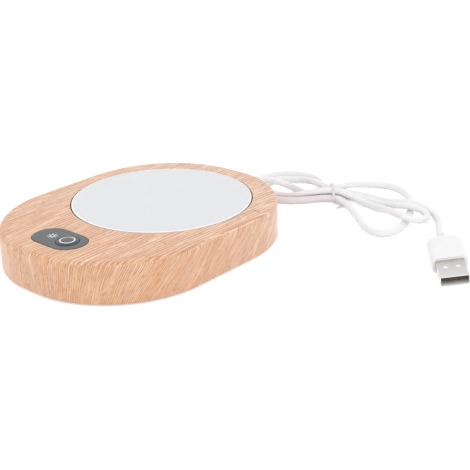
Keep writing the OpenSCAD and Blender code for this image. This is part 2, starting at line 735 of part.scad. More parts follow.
module twist_tie() {
    color([0.90, 0.90, 0.92]) {
        translate([tie_centre.x, tie_centre.y, 0]) rotate([90, 0, 90 + tie_angle])
            translate([0, 0, -tie_width / 2]) linear_extrude(tie_width) difference() {
                tie_loop_outline(tie_gap + tie_thickness);
                tie_loop_outline(tie_gap);
            }
        swept_lead(tie_tail, tie_width / 2, 14);
    }
}

module plug_grip() {
    back = -shell_length - grip_length;
    chamfer = 4;
    half = grip_width / 2;
    color([0.96, 0.96, 0.96]) place_plug() difference() {
        union() {
            intersection() {
                translate([back, 0, 0]) plug_section(grip_width, grip_thickness, grip_round, grip_length);
                translate([0, 0, -grip_thickness]) linear_extrude(2 * grip_thickness) polygon([
                    [-shell_length + 1, half + 1], [back + chamfer, half], [back, half - chamfer + 1],
                    [back, -half + chamfer - 1], [back + chamfer, -half], [-shell_length + 1, -half - 1]]);
            }
            translate([back - neck_length, 0, 0]) rotate([0, 90, 0])
                cylinder(h = neck_length + 1, r1 = cord_r + 0.5, r2 = neck_r, $fn = 48);
        }
        translate([-shell_length - shell_inside, 0, 0])
            plug_section(shell_width + 2 * fit, shell_height + 2 * fit, 0.6, shell_inside + 1);
        translate([back - neck_length - 1, 0, 0]) rotate([0, 90, 0])
            cylinder(h = 4, r = cord_r + fit, $fn = 32);
    }
}

module plug_shell() {
    length = shell_length + shell_inside;
    dimple_r = 4;
    dimple_depth = 0.2;
    dimple_x = length - 7.2;
    dimple_y = 2.6;
    color([0.83, 0.82, 0.80]) place_plug() translate([-length, 0, 0]) difference() {
        plug_section(shell_width, shell_height, 0.6, length);
        translate([-1, 0, 0])
            plug_section(shell_width - 2 * shell_sheet, shell_height - 2 * shell_sheet, 0.3, length + 2);
        // pressed dimples on both faces
        for (y = [-dimple_y, dimple_y], z = [-1, 1])
            translate([dimple_x, y, z * (shell_height / 2 + dimple_r - dimple_depth)]) sphere(dimple_r);
    }
}

// insulating tongue against the lower wall of the shell
module plug_tongue() {
    length = shell_length + shell_inside - tongue_back;
    color([0.15, 0.13, 0.13]) place_plug()
        translate([-length - tongue_back, -shell_width / 2 + shell_sheet + slip, tongue_bottom])
            cube([length, shell_width - 2 * (shell_sheet + slip), tongue_thickness]);
}

module plug_contacts() {
    color([0.85, 0.70, 0.35]) place_plug() for (c = contact_rows)
        translate([-2 * tongue_back - c[1], c[0] - contact_width / 2, tongue_bottom + tongue_thickness])
            cube([c[1], contact_width, contact_height]);
}

housing();
bottom_cover();
rubber_feet();
cover_screws();
heating_plate();
plate_gasket();
heater_film();
insulation_pad();
backing_plate();
stud_nuts();
thermistor();
thermal_fuse();
fuse_clip();
control_board();
controller_chip();
power_transistor();
board_capacitors();
board_resistors();
tact_switch();
switch_plunger();
indicator_led();
light_guide();
button_panel();
power_button();
button_seal();
board_screws();
cord_clamp();
clamp_screws();
strain_relief();
power_leads();
heater_leads();
sensor_leads();
cord();
twist_tie();
plug_grip();
plug_shell();
plug_tongue();
plug_contacts();
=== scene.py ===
# Electric mug warmer: its visible pieces, their materials and a stage, built round the packed
# model. Metres, +Z up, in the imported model's own frame. The button panel is at the -Y end.

import json
import math

import bmesh
import bpy
from bpy.props import FloatProperty, FloatVectorProperty, IntProperty, PointerProperty
from mathutils import Matrix, Vector
from mathutils.geometry import convex_hull_2d


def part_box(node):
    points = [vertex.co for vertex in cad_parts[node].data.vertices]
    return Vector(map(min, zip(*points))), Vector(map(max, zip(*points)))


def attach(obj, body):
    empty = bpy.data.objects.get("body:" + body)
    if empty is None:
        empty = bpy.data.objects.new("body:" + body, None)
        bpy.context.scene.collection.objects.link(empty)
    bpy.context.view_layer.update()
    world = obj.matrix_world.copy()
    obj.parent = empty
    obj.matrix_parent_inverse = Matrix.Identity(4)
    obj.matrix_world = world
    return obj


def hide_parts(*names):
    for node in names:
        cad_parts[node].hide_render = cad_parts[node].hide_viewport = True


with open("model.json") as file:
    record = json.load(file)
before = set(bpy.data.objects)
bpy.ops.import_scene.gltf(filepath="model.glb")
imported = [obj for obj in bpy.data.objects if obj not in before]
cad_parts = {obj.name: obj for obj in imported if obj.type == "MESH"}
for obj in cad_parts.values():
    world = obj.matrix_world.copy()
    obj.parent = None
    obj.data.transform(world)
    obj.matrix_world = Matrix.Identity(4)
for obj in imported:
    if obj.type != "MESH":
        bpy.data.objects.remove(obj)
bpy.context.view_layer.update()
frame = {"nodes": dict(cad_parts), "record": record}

bl_info = {
    "name": "Electric Mug Warmer",
    "version": (1, 0, 0),
    "blender": (4, 5, 0),
    "location": "3D View > Sidebar > Mug Warmer",
    "description": "Builds the visible pieces of an electric mug warmer round its packed model",
    "category": "Object",
}

MM = 0.001
WELD = 0.005 * MM         # points closer than this are one
CORNER_STEPS = 48         # straight pieces in a quarter turn of the large outlines
BEND_STEPS = 8            # straight pieces in a soft edge


# ---- sizes and colours ----

def linear(code):
    """Scene-linear RGBA of an sRGB hex colour."""
    parts = [int(code[i:i + 2], 16) / 255 for i in (0, 2, 4)]
    return [c / 12.92 if c <= 0.04045 else ((c + 0.055) / 1.055) ** 2.4 for c in parts] + [1.0]


def darker(tone, share):
    """A colour with its light turned down to a share."""
    return [share * c for c in tone[:3]] + [1.0]


def size(name, description, default):
    return FloatProperty(name=name, description=description, default=default, min=0, precision=5,
                         unit="LENGTH", subtype="DISTANCE")


def colour(name, description, code):
    return FloatVectorProperty(name=name, description=description, default=linear(code), size=4,
                               min=0, max=1, subtype="COLOR")


def span(part, axis):
    """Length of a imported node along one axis."""
    low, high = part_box(part)
    return high[axis] - low[axis]


def middle(part, axis):
    low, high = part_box(part)
    return (high[axis] + low[axis]) / 2


def top(part):
    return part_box(part)[1].z


def bottom(part):
    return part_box(part)[0].z


class HousingSettings(bpy.types.PropertyGroup):
    length: size("Length", "From the button end to the lead end", span("housing", 1))
    width: size("Width", "Across the housing", span("housing", 0))
    corner: size("Corner radius", "Radius of the corners in plan", 47.2 * MM)
    edge: size("Edge radius", "Radius of the soft edge round the top", 2.8 * MM)
    wall: size("Wall", "Thickness of the side and top walls", 2.2 * MM)
    line_gap: size("Grain spacing", "Distance from one grain line to the next on the top", 1.8 * MM)
    wall_gap: size("Wall grain spacing", "Distance from one grain line to the next on the wall",
                   1.0 * MM)
    pale: colour("Pale wood", "Light ground of the film's print", "FDD9B7")
    mid: colour("Wood", "Main tone of the film's print", "CF9675")
    dark: colour("Grain", "Dark tone of the printed flecks", "B06B45")
    # painted shade: this dark tone colours the wall of the plate's opening, for the shade in the
    # gap round the plate
    core: colour("Moulding", "Colour of the moulding under the film", "4A3F3A")
    lean: FloatProperty(name="Lean", default=1.0, min=0, max=2,
                        description="Sideways run of the wall's grain per unit of height")
    foot: size("Foot diameter", "Diameter of a rubber foot", 10 * MM)


class PlateSettings(bpy.types.PropertyGroup):
    diameter: size("Diameter", "Diameter of the heating plate", span("heating_plate", 0))
    gap: size("Gap", "Gap round the plate", 0.5 * MM)
    dish: size("Dish", "Depth of the plate's face below its rim", 0.15 * MM)
    coating: colour("Coating", "Colour of the plate's coating", "E6E7E9")
    # painted highlight: the rim's colour stands for the light caught by the plate's edge
    rim: colour("Rim", "Colour of the plate's bright rim", "FDFDFD")


class PanelSettings(bpy.types.PropertyGroup):
    width: size("Width", "Width of the button panel", span("button_panel", 0))
    depth: size("Depth", "Depth of the button panel", span("button_panel", 1))
    button: size("Button diameter", "Diameter of the power button", 9.8 * MM)
    ring: size("Ring diameter", "Middle diameter of the ring printed on the button", 6.2 * MM)
    line: size("Line", "Width of the printed lines", 0.55 * MM)
    rays: IntProperty(name="Rays", description="Rays of the printed sun", default=8, min=4, max=16)
    slate: colour("Slate", "Colour of the panel and its button", "52575A")
    ink: colour("Ink", "Colour of the printed ring and sun", "F2F2EF")


class LeadSettings(bpy.types.PropertyGroup):
    diameter: size("Diameter", "Diameter of the lead", 3.4 * MM)
    vinyl: colour("Vinyl", "Colour of the lead and the plug's grip", "F7F6F7")
    shell: colour("Shell", "Colour of the plug's plated shell", "D0CEC9")


class StageSettings(bpy.types.PropertyGroup):
    floor: colour("Floor", "Colour of the floor", "F4F4F4")
    daylight: FloatProperty(name="Surround light", default=0.92, min=0,
                            description="Strength of the even light all round")
    softbox: FloatProperty(name="Soft box", default=1.6, min=0,
                           description="Power of the large lamp to the right, in watts")


# ---- node trees ----

MATHS, VECTORS, SPLIT = "ShaderNodeMath", "ShaderNodeVectorMath", "ShaderNodeSeparateXYZ"
RANGE, MIX, NOISE = "ShaderNodeMapRange", "ShaderNodeMix", "ShaderNodeTexNoise"


def feed(tree, made, inputs):
    """Set a node's inputs to values, or link them to sockets or to other nodes' first live outputs.
    They are listed in order, or keyed by identifier or name."""
    for key, value in inputs.items() if isinstance(inputs, dict) else enumerate(inputs):
        ports = [port for port in made.inputs if port.identifier == key] or [made.inputs[key]]
        if isinstance(value, bpy.types.Node):
            value = next(port for port in value.outputs if port.enabled)
        if isinstance(value, bpy.types.NodeSocket):
            tree.links.new(value, ports[0])
        else:
            ports[0].default_value = value


def node(tree, kind, inputs=(), **settings):
    """Add a node with its settings and its inputs."""
    made = tree.nodes.new(kind)
    for name, value in settings.items():
        setattr(made, name, value)
    feed(tree, made, inputs)
    return made


def geometry_tree(name, inputs):
    """An empty geometry tree with named inputs, and its input and output nodes."""
    tree = bpy.data.node_groups.new(name, "GeometryNodeTree")
    for label, kind in [("Geometry", "Geometry"), *inputs, ("Material", "Material")]:
        tree.interface.new_socket(label, in_out="INPUT", socket_type="NodeSocket" + kind)
    tree.interface.new_socket("Geometry", in_out="OUTPUT", socket_type="NodeSocketGeometry")
    return tree, node(tree, "NodeGroupInput").outputs, node(tree, "NodeGroupOutput")


def ended(tree, given, out, shape):
    """The tree with its end: what is an instance made real, and the given material set."""
    real = node(tree, "GeometryNodeRealizeInstances", [shape])
    done = node(tree, "GeometryNodeSetMaterial", {"Geometry": real, "Material": given["Material"]})
    feed(tree, out, [done])
    return tree


def grown(data, tree, **settings):
    """Run a geometry tree on some data and return its result as a plain mesh."""
    holder = bpy.data.objects.new("holder", data)
    modifier = holder.modifiers.new("tree", "NODES")
    modifier.node_group = tree
    for item in tree.interface.items_tree:
        if item.name in settings:
            modifier[item.identifier] = settings[item.name]
    bpy.context.scene.collection.objects.link(holder)
    graph = bpy.context.evaluated_depsgraph_get()
    made = bpy.data.meshes.new_from_object(holder.evaluated_get(graph))
    bpy.data.objects.remove(holder)
    return made


def sweep_tree():
    """Sweeps a section round a rounded rectangle, or round a circle where its corners meet.
    The section's X points out of the outline."""
    tree, given, out = geometry_tree("Sweep round an outline", [
        ("Width", "Float"), ("Length", "Float"), ("Corner Radius", "Float"), ("Centre", "Vector"),
        ("Corner Steps", "Int"), ("Round", "Bool")])
    plan = node(tree, "GeometryNodeCurvePrimitiveQuadrilateral", {
        "Width": given["Width"], "Height": given["Length"]})
    soft = node(tree, "GeometryNodeFilletCurve", {
        "Curve": plan, "Radius": given["Corner Radius"], "Count": given["Corner Steps"]},
        mode="POLY")
    all_steps = node(tree, MATHS, [given["Corner Steps"], 4], operation="MULTIPLY")
    ring = node(tree, "GeometryNodeCurvePrimitiveCircle", {
        "Radius": given["Corner Radius"], "Resolution": all_steps})
    outline = node(tree, "GeometryNodeSwitch", {
        "Switch": given["Round"], "False": soft, "True": ring}, input_type="GEOMETRY")
    placed = node(tree, "GeometryNodeTransform", {
        "Geometry": outline, "Translation": given["Centre"]})
    surfaced = node(tree, "GeometryNodeCurveToMesh", {
        "Curve": placed, "Profile Curve": given["Geometry"]})
    return ended(tree, given, out, surfaced)


def copies_tree():
    """Copies a shape to each point, turned about Z by the point's own turn and some play."""
    tree, given, out = geometry_tree("Copies at places", [
        ("Shape", "Object"), ("Play", "Float"), ("Seed", "Int")])
    shape = node(tree, "GeometryNodeObjectInfo", {"Object": given["Shape"]})
    turn = node(tree, "GeometryNodeInputNamedAttribute", {"Name": "turn"}, data_type="FLOAT")
    play = node(tree, "FunctionNodeRandomValue", {
        "Max_001": given["Play"], "Seed": given["Seed"]}, data_type="FLOAT")
    total = node(tree, MATHS, [turn, play], operation="ADD")
    about = node(tree, "ShaderNodeCombineXYZ", {"Z": total})
    placed = node(tree, "GeometryNodeInstanceOnPoints", {
        "Points": given["Geometry"], "Instance": shape.outputs["Geometry"], "Rotation": about})
    return ended(tree, given, out, placed)


# ---- meshes ----

def swept(section, width, length, corner, centre=(0, 0), steps=CORNER_STEPS):
    """Mesh of a section, drawn as (outset, height) points, swept round a rounded rectangle.
    Its faces point to the left of the section's run."""
    curve = bpy.data.curves.new("section", "CURVE")
    curve.dimensions = "3D"
    spline = curve.splines.new("POLY")
    spline.points.add(len(section) - 1)
    for point, (outset, height) in zip(spline.points, section):
        point.co = (outset, -height, 0, 1)
    is_round = max(width, length) < 2 * corner + WELD
    made = grown(curve, TREES["sweep"], Width=width, Length=length, Centre=(*centre, 0.0),
                 Round=is_round, **{"Corner Radius": corner, "Corner Steps": steps})
    return joined([made])


def swept_round(section, radius, centre, steps=CORNER_STEPS):
    """Mesh of a section, drawn as (outset, height) points, swept round a circle."""
    return swept(section, 2 * radius, 2 * radius, radius, centre, steps)


def turned(section, centre=(0, 0), steps=16):
    """Mesh of a section, drawn as (radius, height) points from the top down, turned about Z."""
    widest = max(radius for radius, height in section)
    return swept_round([(radius - widest, height) for radius, height in section], widest, centre,
                       steps)


def copies(shape, places, play=0.0, seed=0):
    """Mesh of a shape copied to places, each a point with its turn about Z."""
    holder = bpy.data.objects.new("shape", shape)
    bpy.context.scene.collection.objects.link(holder)
    points = bpy.data.meshes.new("places")
    points.from_pydata([place[:3] for place in places], [], [])
    turns = points.attributes.new("turn", "FLOAT", "POINT")
    turns.data.foreach_set("value", [place[3] for place in places])
    made = grown(points, TREES["copies"], Shape=holder, Play=play, Seed=seed)
    bpy.data.objects.remove(holder)
    return made


def arc(centre, radius, start, end, steps=BEND_STEPS):
    """Points of an arc in a section, from one angle to another in degrees."""
    return [(centre[0] + radius * math.cos(math.radians(start + (end - start) * i / steps)),
             centre[1] + radius * math.sin(math.radians(start + (end - start) * i / steps)))
            for i in range(steps + 1)]


def lipped(high, lip, steps=5):
    """Points of an opening's soft upper edge, up and out onto the face round it."""
    return [*arc((lip, high - lip), lip, 180, 90, steps), (lip + 0.3 * MM, high)]


def rounded(half_x, half_y, corner, steps=6):
    """Points of a rounded rectangle, anticlockwise."""
    corners = [(1, 1), (-1, 1), (-1, -1), (1, -1)]
    return [point for i, (x, y) in enumerate(corners)
            for point in arc((x * (half_x - corner), y * (half_y - corner)), corner,
                             90 * i, 90 * (i + 1), steps)]


def skin(rings, closed=False):
    """Mesh of faces from ring to ring, with its two ends filled unless it closes on itself."""
    shape = bmesh.new()
    rows = [[shape.verts.new(point) for point in ring] for ring in rings]
    for low, high in zip(rows, rows[1:] + (rows[:1] if closed else [])):
        for a, b, c, d in zip(low, low[1:] + low[:1], high[1:] + high[:1], high):
            shape.faces.new((a, b, c, d))
    if not closed:
        shape.faces.new(rows[0][::-1])
        shape.faces.new(rows[-1])
    made = bpy.data.meshes.new("skin")
    shape.to_mesh(made)
    shape.free()
    return made


def bar(outline, *ends):
    """Mesh of a bar along X with a section drawn as (y, z) points, between its two ends."""
    return skin([[(x, y, z) for y, z in outline] for x in ends])


def joined(meshes, floors=()):
    """One mesh of several, with the rims at each floor's height filled by flat faces."""
    shape = bmesh.new()
    for mesh in meshes:
        shape.from_mesh(mesh)
    bmesh.ops.remove_doubles(shape, verts=shape.verts, dist=WELD)
    bmesh.ops.dissolve_degenerate(shape, edges=shape.edges, dist=0.1 * WELD)
    for height, faces_up in floors:
        rims = [edge for edge in shape.edges
                if edge.is_boundary and all(abs(v.co.z - height) < WELD for v in edge.verts)]
        flat = bmesh.ops.triangle_fill(shape, edges=rims, use_beauty=True)["geom"]
        faces = [part for part in flat if isinstance(part, bmesh.types.BMFace)]
        if not faces:
            raise RuntimeError(f"no rims to fill at {height / MM:.2f} mm")
        for face in faces:
            face.normal_update()
            if (face.normal.z > 0) != faces_up:
                face.normal_flip()
    made = bpy.data.meshes.new("joined")
    shape.to_mesh(made)
    shape.free()
    return made


def cut(mesh, cutters):
    """The mesh with each cutter's shape taken out of it."""
    holders = []
    for part in [mesh, *cutters]:
        holders.append(bpy.data.objects.new("cut", part))
        bpy.context.scene.collection.objects.link(holders[-1])
    for cutter in holders[1:]:
        modifier = holders[0].modifiers.new("cut", "BOOLEAN")
        modifier.object = cutter
        modifier.solver = "EXACT"
    graph = bpy.context.evaluated_depsgraph_get()
    made = bpy.data.meshes.new_from_object(holders[0].evaluated_get(graph))
    for holder in holders:
        bpy.data.objects.remove(holder)
    if not made.polygons:
        raise RuntimeError("nothing is left after the cut")
    return made


def moved(mesh, place):
    mesh.transform(place)
    return mesh


def piece(name, mesh, finish, stands_for=(), body="base", sharp=35):
    """A finished piece: smooth but for its sharp corners, with a material, riding on its body."""
    mesh.name = name
    mesh.shade_smooth()
    mesh.set_sharp_from_angle(angle=math.radians(sharp))
    mesh.materials.clear()
    mesh.materials.append(finish)
    made = bpy.data.objects.new(name, mesh)
    bpy.context.scene.collection.objects.link(made)
    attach(made, body)
    if stands_for:
        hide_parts(*stands_for)
    return made


# ---- materials ----

def surface(name, sockets=None):
    """A material with a Principled shader, and what its pattern is built from: its tree, the
    shader, and the shaded point in the piece's own coordinates."""
    made = bpy.data.materials.new(name)
    made.use_nodes = True
    tree = made.node_tree
    tree.nodes.clear()
    shader = node(tree, "ShaderNodeBsdfPrincipled", sockets or {})
    node(tree, "ShaderNodeOutputMaterial", {"Surface": shader})
    place = node(tree, "ShaderNodeTexCoord").outputs["Object"]
    return made, tree, shader, place


def mottled(finish, light, dark, roughness, grain=0.4 * MM, relief=0.01 * MM, stretch=(1, 1, 1),
            turn=(0, 0, 0), **sockets):
    """A finish with a fine grain of the given size, which shades, roughens and embosses it. Where
    the real grain is too fine to show, the size given is as coarse as it needs to be."""
    made, tree, shader, place = surface(finish, sockets)
    laid = node(tree, "ShaderNodeMapping", {"Vector": place, "Rotation": turn, "Scale": stretch})
    speck = node(tree, NOISE, {
        "Vector": laid, "Scale": 1 / grain, "Detail": 3.0, "Roughness": 0.6})
    cloud = node(tree, NOISE, {"Vector": laid, "Scale": 0.08 / grain, "Detail": 1.0})
    both = node(tree, MATHS, [speck, cloud], operation="MULTIPLY")
    shade = node(tree, RANGE, {"Value": both, "From Min": 0.15, "From Max": 0.35})
    tone = node(tree, MIX, {
        "Factor_Float": shade, "A_Color": dark, "B_Color": light}, data_type="RGBA")
    gloss = node(tree, RANGE, {
        "Value": speck, "From Min": 0.3, "From Max": 0.7,
        "To Min": 0.9 * roughness, "To Max": min(1.0, 1.1 * roughness)})
    emboss = node(tree, "ShaderNodeBump", {"Height": speck, "Strength": 1.0, "Distance": relief})
    feed(tree, shader, {"Base Color": tone, "Roughness": gloss, "Normal": emboss})
    return made


def shader_of(tree):
    return next(part for part in tree.nodes if part.type == "BSDF_PRINCIPLED")


def tint(tree, factor, shade):
    """Lay one more colour over what already feeds the shader's base colour."""
    shader = shader_of(tree)
    under = shader.inputs["Base Color"].links[0].from_socket
    tone = node(tree, MIX, {
        "Factor_Float": factor, "A_Color": under, "B_Color": shade}, data_type="RGBA")
    feed(tree, shader, {"Base Color": tone})


def away_from(tree, at):
    """Distance of the shaded point, seen from above, from the upright line through at."""
    place = node(tree, "ShaderNodeTexCoord").outputs["Object"]
    level = node(tree, VECTORS, [place, (1, 1, 0)], operation="MULTIPLY")
    return node(tree, VECTORS, [level, (*at, 0)], operation="DISTANCE")


def wood_film(settings):
    """Paper-printed PVC film, vacuum-wrapped over moulded ABS: satin, with wood grain that runs
    along the top and a finer grain that stands on the wall and leans towards the sides."""
    made, tree, shader, place = surface("Wood-grain film on moulded ABS")

    # where the point lies: on the outline's core, the way out from there, and how far below the top
    core = (settings.width / 2 - settings.corner, settings.length / 2 - settings.corner, 0)
    flat = node(tree, VECTORS, [place, (1, 1, 0)], operation="MULTIPLY")
    not_less = node(tree, VECTORS, [flat, [-c for c in core]], operation="MAXIMUM")
    inner = node(tree, VECTORS, [not_less, core], operation="MINIMUM")
    outward = node(tree, VECTORS, [flat, inner], operation="SUBTRACT")
    way = node(tree, SPLIT, [node(tree, VECTORS, [outward], operation="NORMALIZE")]).outputs
    kept = node(tree, SPLIT, [inner]).outputs
    height = node(tree, SPLIT, [place]).outputs["Z"]
    below = node(tree, MATHS, [top("housing"), height], operation="SUBTRACT")

    # on the wall the grain is laid by the distance round the outline, from the middle of its front
    forwards = node(tree, MATHS, [way["Y"], -1.0], operation="MULTIPLY")
    angle = node(tree, MATHS, [way["X"], forwards], operation="ARCTAN2")
    arc_run = node(tree, MATHS, [settings.corner, angle], operation="MULTIPLY")
    side = node(tree, MATHS, [way["X"]], operation="SIGN")
    from_front = node(tree, MATHS, [kept["Y"], core[1]], operation="ADD")
    side_run = node(tree, MATHS, [side, from_front], operation="MULTIPLY")
    end_run = node(tree, MATHS, [kept["X"], way["Y"]], operation="MULTIPLY")
    past_front = node(tree, MATHS, [arc_run, side_run], operation="ADD")
    run = node(tree, MATHS, [past_front, end_run], operation="SUBTRACT")
    # it leans most on the long sides, and a leaning line moves sideways as it goes down
    sideways = node(tree, MATHS, [way["X"]], operation="ABSOLUTE")
    to_side = node(tree, MATHS, [way["X"], sideways], operation="MULTIPLY")
    leaning = node(tree, MATHS, [to_side, settings.lean], operation="MULTIPLY")
    wall_x = node(tree, MATHS, [leaning, below, run], operation="MULTIPLY_ADD")
    wall_y = node(tree, MATHS, [-settings.length / 2, below], operation="SUBTRACT")
    round_wall = node(tree, "ShaderNodeCombineXYZ", [wall_x, wall_y])
    on_wall = node(tree, MATHS, [below, 0.35 * settings.edge], operation="GREATER_THAN")
    sheet = node(tree, MIX, {
        "Factor_Float": on_wall, "A_Vector": flat, "B_Vector": round_wall}, data_type="VECTOR")
    # the grain wanders a little sideways
    drift = node(tree, NOISE, {"Vector": sheet, "Scale": 1 / (35 * MM), "Detail": 1.0})
    wander = node(tree, RANGE, {"Value": drift, "To Min": -1.5 * MM, "To Max": 1.5 * MM})
    wood = node(tree, VECTORS, [sheet, node(tree, "ShaderNodeCombineXYZ", [wander])],
                operation="ADD")
    fineness = node(tree, RANGE, {
        "Value": on_wall, "To Min": 1.0, "To Max": settings.line_gap / settings.wall_gap})
    fine = node(tree, VECTORS, {"Vector": wood, "Scale": fineness}, operation="SCALE")

    # what is printed: its width and length in millimetres, and where the noise turns into it
    layers = {}
    for name, laid, wide, long, low, high in [
            ("hair", fine, 0.8, 16, 0.38, 0.6), ("fleck", wood, 0.9, 2.8, 0.56, 0.7),
            ("band", wood, 7, 50, 0.35, 0.65), ("strength", wood, 4, 14, 0.25, 0.55)]:
        stretched = node(tree, VECTORS, [laid, (1, wide / long, 1)], operation="MULTIPLY")
        printed = node(tree, NOISE, {
            "Vector": stretched, "Scale": 1 / (wide * MM), "Detail": 2.0})
        layers[name] = node(tree, RANGE, {
            "Value": printed, "From Min": low, "From Max": high}, interpolation_type="SMOOTHSTEP")
    # the grain lines; the wave texture's bands are 2 pi / 20 apart at a scale of one
    drawn_out = node(tree, VECTORS, [fine, (1, 0.04, 0)], operation="MULTIPLY")
    lines = node(tree, "ShaderNodeTexWave", {
        "Vector": drawn_out, "Scale": math.tau / 20 / settings.line_gap, "Distortion": 5.0,
        "Detail": 2.0, "Detail Scale": 1.0})
    grain = node(tree, MATHS, [lines.outputs["Fac"], layers["strength"]], operation="MULTIPLY")
    # painted light: the print is coloured paler and cooler towards the lead end, for the light from
    # the back and the sheen it lays on the top
    along = node(tree, VECTORS, [place, (-0.1, 0.995, 0)], operation="DOT_PRODUCT")
    painted_light = node(tree, RANGE, {
        "Value": along, "From Min": -45 * MM, "From Max": 60 * MM, "To Max": 0.78})

    warm, lit_tone = linear("FACA9F"), linear("FFE6D2")
    ground = node(tree, MIX, {
        "Factor_Float": layers["band"], "A_Color": settings.pale, "B_Color": warm},
        data_type="RGBA")
    gloss = node(tree, RANGE, {"Value": grain, "To Min": 0.28, "To Max": 0.36})
    emboss = node(tree, "ShaderNodeBump", {
        "Height": grain, "Strength": 1.0, "Distance": -0.01 * MM})
    feed(tree, shader, {"Base Color": ground, "Roughness": gloss, "Normal": emboss})
    for layer, strength, shade in [
            (painted_light, 1.0, lit_tone), (layers["hair"], 0.5, settings.mid),
            (grain, 0.85, settings.mid), (layers["fleck"], 0.5, settings.dark)]:
        tint(tree, node(tree, MATHS, [layer, strength], operation="MULTIPLY"), shade)
    # painted shade: where the film ends at the plate's opening, the wall below is coloured dark for
    # the shade in the gap round the plate
    from_plate = away_from(tree, (0, middle("heating_plate", 1)))
    opening = span("plate_gasket", 0) / 2 + 0.2 * MM
    gap_shade = node(tree, MATHS, [from_plate, opening], operation="LESS_THAN")
    sunk = node(tree, MATHS, [below, 0.2 * MM], operation="GREATER_THAN")
    tint(tree, node(tree, MATHS, [gap_shade, sunk], operation="MULTIPLY"), settings.core)
    return made


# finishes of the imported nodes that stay: name, light and dark sRGB tone, roughness, metallic, and
# grain and relief in millimetres
FINISHES = {
    # moulded in a spark-eroded tool, so evenly matt
    "cover_plastic": ("Moulded ABS with a spark texture", "D9D4CB", "CDC8BE", 0.6, 0, 0.5, 0.02),
    # die-cut from calendered sheet: dull and even
    "black_silicone": ("Die-cut silicone sheet", "2A2A2C", "1E1E20", 0.7, 0, 0.6, 0.01),
    # amber film laminated over etched foil: glossy, clouded
    "heater_film": ("Polyimide film over etched foil", "CF8F33", "B4741F", 0.25, 0, 3.0, 0.01),
    # needled fibres: fully matt and fuzzy
    "mica_felt": ("Needled mica felt", "EEEBE1", "D8D2C4", 0.95, 0, 0.8, 0.08),
    # cold-pressed from rolled sheet: bright with a faint haze
    "pressed_aluminium": ("Pressed aluminium sheet", "CCCED1", "B9BBBF", 0.35, 1, 0.2, 0.004),
    # barrel-plated after turning: bright, a little grey in the hollows
    "plated_steel": ("Zinc-plated turned steel", "CDCED0", "AFB0B3", 0.3, 1, 0.15, 0.004),
    # dipped in resin and cured: smooth, slightly wavy
    "sensor_epoxy": ("Dipped epoxy", "3A3F46", "2B2F35", 0.3, 0, 1.0, 0.02),
    # deep-drawn and tinned: soft grey gloss
    "fuse_metal": ("Drawn tinned case", "D6D2C6", "C2BDB0", 0.3, 1, 0.3, 0.003),
    # glass cloth under printed solder resist: green with a faint weave
    "board_laminate": ("Glass laminate under solder resist", "227350", "175A39",
                       0.35, 0, 0.4, 0.01),
    # transfer-moulded with a matt-etched tool
    "black_epoxy": ("Moulded epoxy", "242426", "171719", 0.6, 0, 0.2, 0.008),
    # drawn from soft sheet: bright sides
    "capacitor_can": ("Drawn aluminium can", "C6C9CF", "B0B3B9", 0.28, 1, 0.2, 0.003),
    # moulded with short glass fibres that dull it
    "switch_plastic": ("Moulded glass-filled nylon", "38383B", "28282B", 0.6, 0, 0.3, 0.01),
    # moulded in a polished tool: waxy
    "plunger_plastic": ("Moulded acetal", "E3DECF", "D3CDBC", 0.4, 0, 0.5, 0.004),
    # cast with phosphor: yellow and smooth
    "led_resin": ("Cast phosphor resin", "F4E9A6", "E9D983", 0.3, 0, 0.3, 0.003),
    # cast and polished: clear
    "clear_acrylic": ("Polished acrylic", "F0F5F8", "E6EEF3", 0.08, 0, 0.5, 0.001),
    # moulded and post-cured: dull grey
    "grey_silicone": ("Moulded silicone", "9EA0A3", "8D8F92", 0.7, 0, 0.4, 0.01),
    # extruded over stranded wire: even and soft
    "lead_insulation": ("Extruded lead insulation", "E6E4DF", "D8D5CF", 0.45, 0, 0.8, 0.01),
    # moulded in a smooth tool: dark, a little glossy
    "black_nylon": ("Moulded nylon", "352E2D", "262120", 0.5, 0, 0.3, 0.005),
    # plated over stamped bronze: bright yellow
    "gold_contact": ("Gold-plated bronze", "DDB961", "C7A04A", 0.25, 1, 0.1, 0.002),
}


def packed_finish(slot):
    """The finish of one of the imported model's material slots."""
    title, light, dark, roughness, metallic, grain, relief = FINISHES[slot]
    clear = {"Transmission Weight": 0.9} if slot == "clear_acrylic" else {}
    return mottled(title, linear(light), linear(dark), roughness, grain * MM, relief * MM,
                   Metallic=metallic, **clear)


# ---- places ----

def by_corner(settings, x, y, angle, inset):
    """A place so far inside the outer face of one rounded corner; x and y are -1 or 1."""
    reach = settings.corner - inset
    return (x * (settings.width / 2 - settings.corner + reach * math.cos(math.radians(angle))),
            y * (settings.length / 2 - settings.corner + reach * math.sin(math.radians(angle))))


SCREW_HEAD = 2.2 * MM     # radius of a cover screw's head


def screw_places(settings, height):
    """The four places of the bottom cover's screws."""
    front = [by_corner(settings, x, -1, 34, 14 * MM) for x in (-1, 1)]
    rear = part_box("cover_screws")[1]
    back = [(x * (rear.x - SCREW_HEAD), rear.y - SCREW_HEAD) for x in (-1, 1)]
    return [(*place, height, 0.0) for place in front + back]


# ---- operators: camera, lead and plug ----

CAMERA_PLACE = (0.30919, -0.28500, 0.17879)
CAMERA_HEADING = 41.68    # degrees from +Y towards -X
CAMERA_DIP = 22.735       # degrees below level
CAMERA_ROLL = -1.49
CAMERA_LENS, CAMERA_SENSOR = 76.6, 36   # millimetres


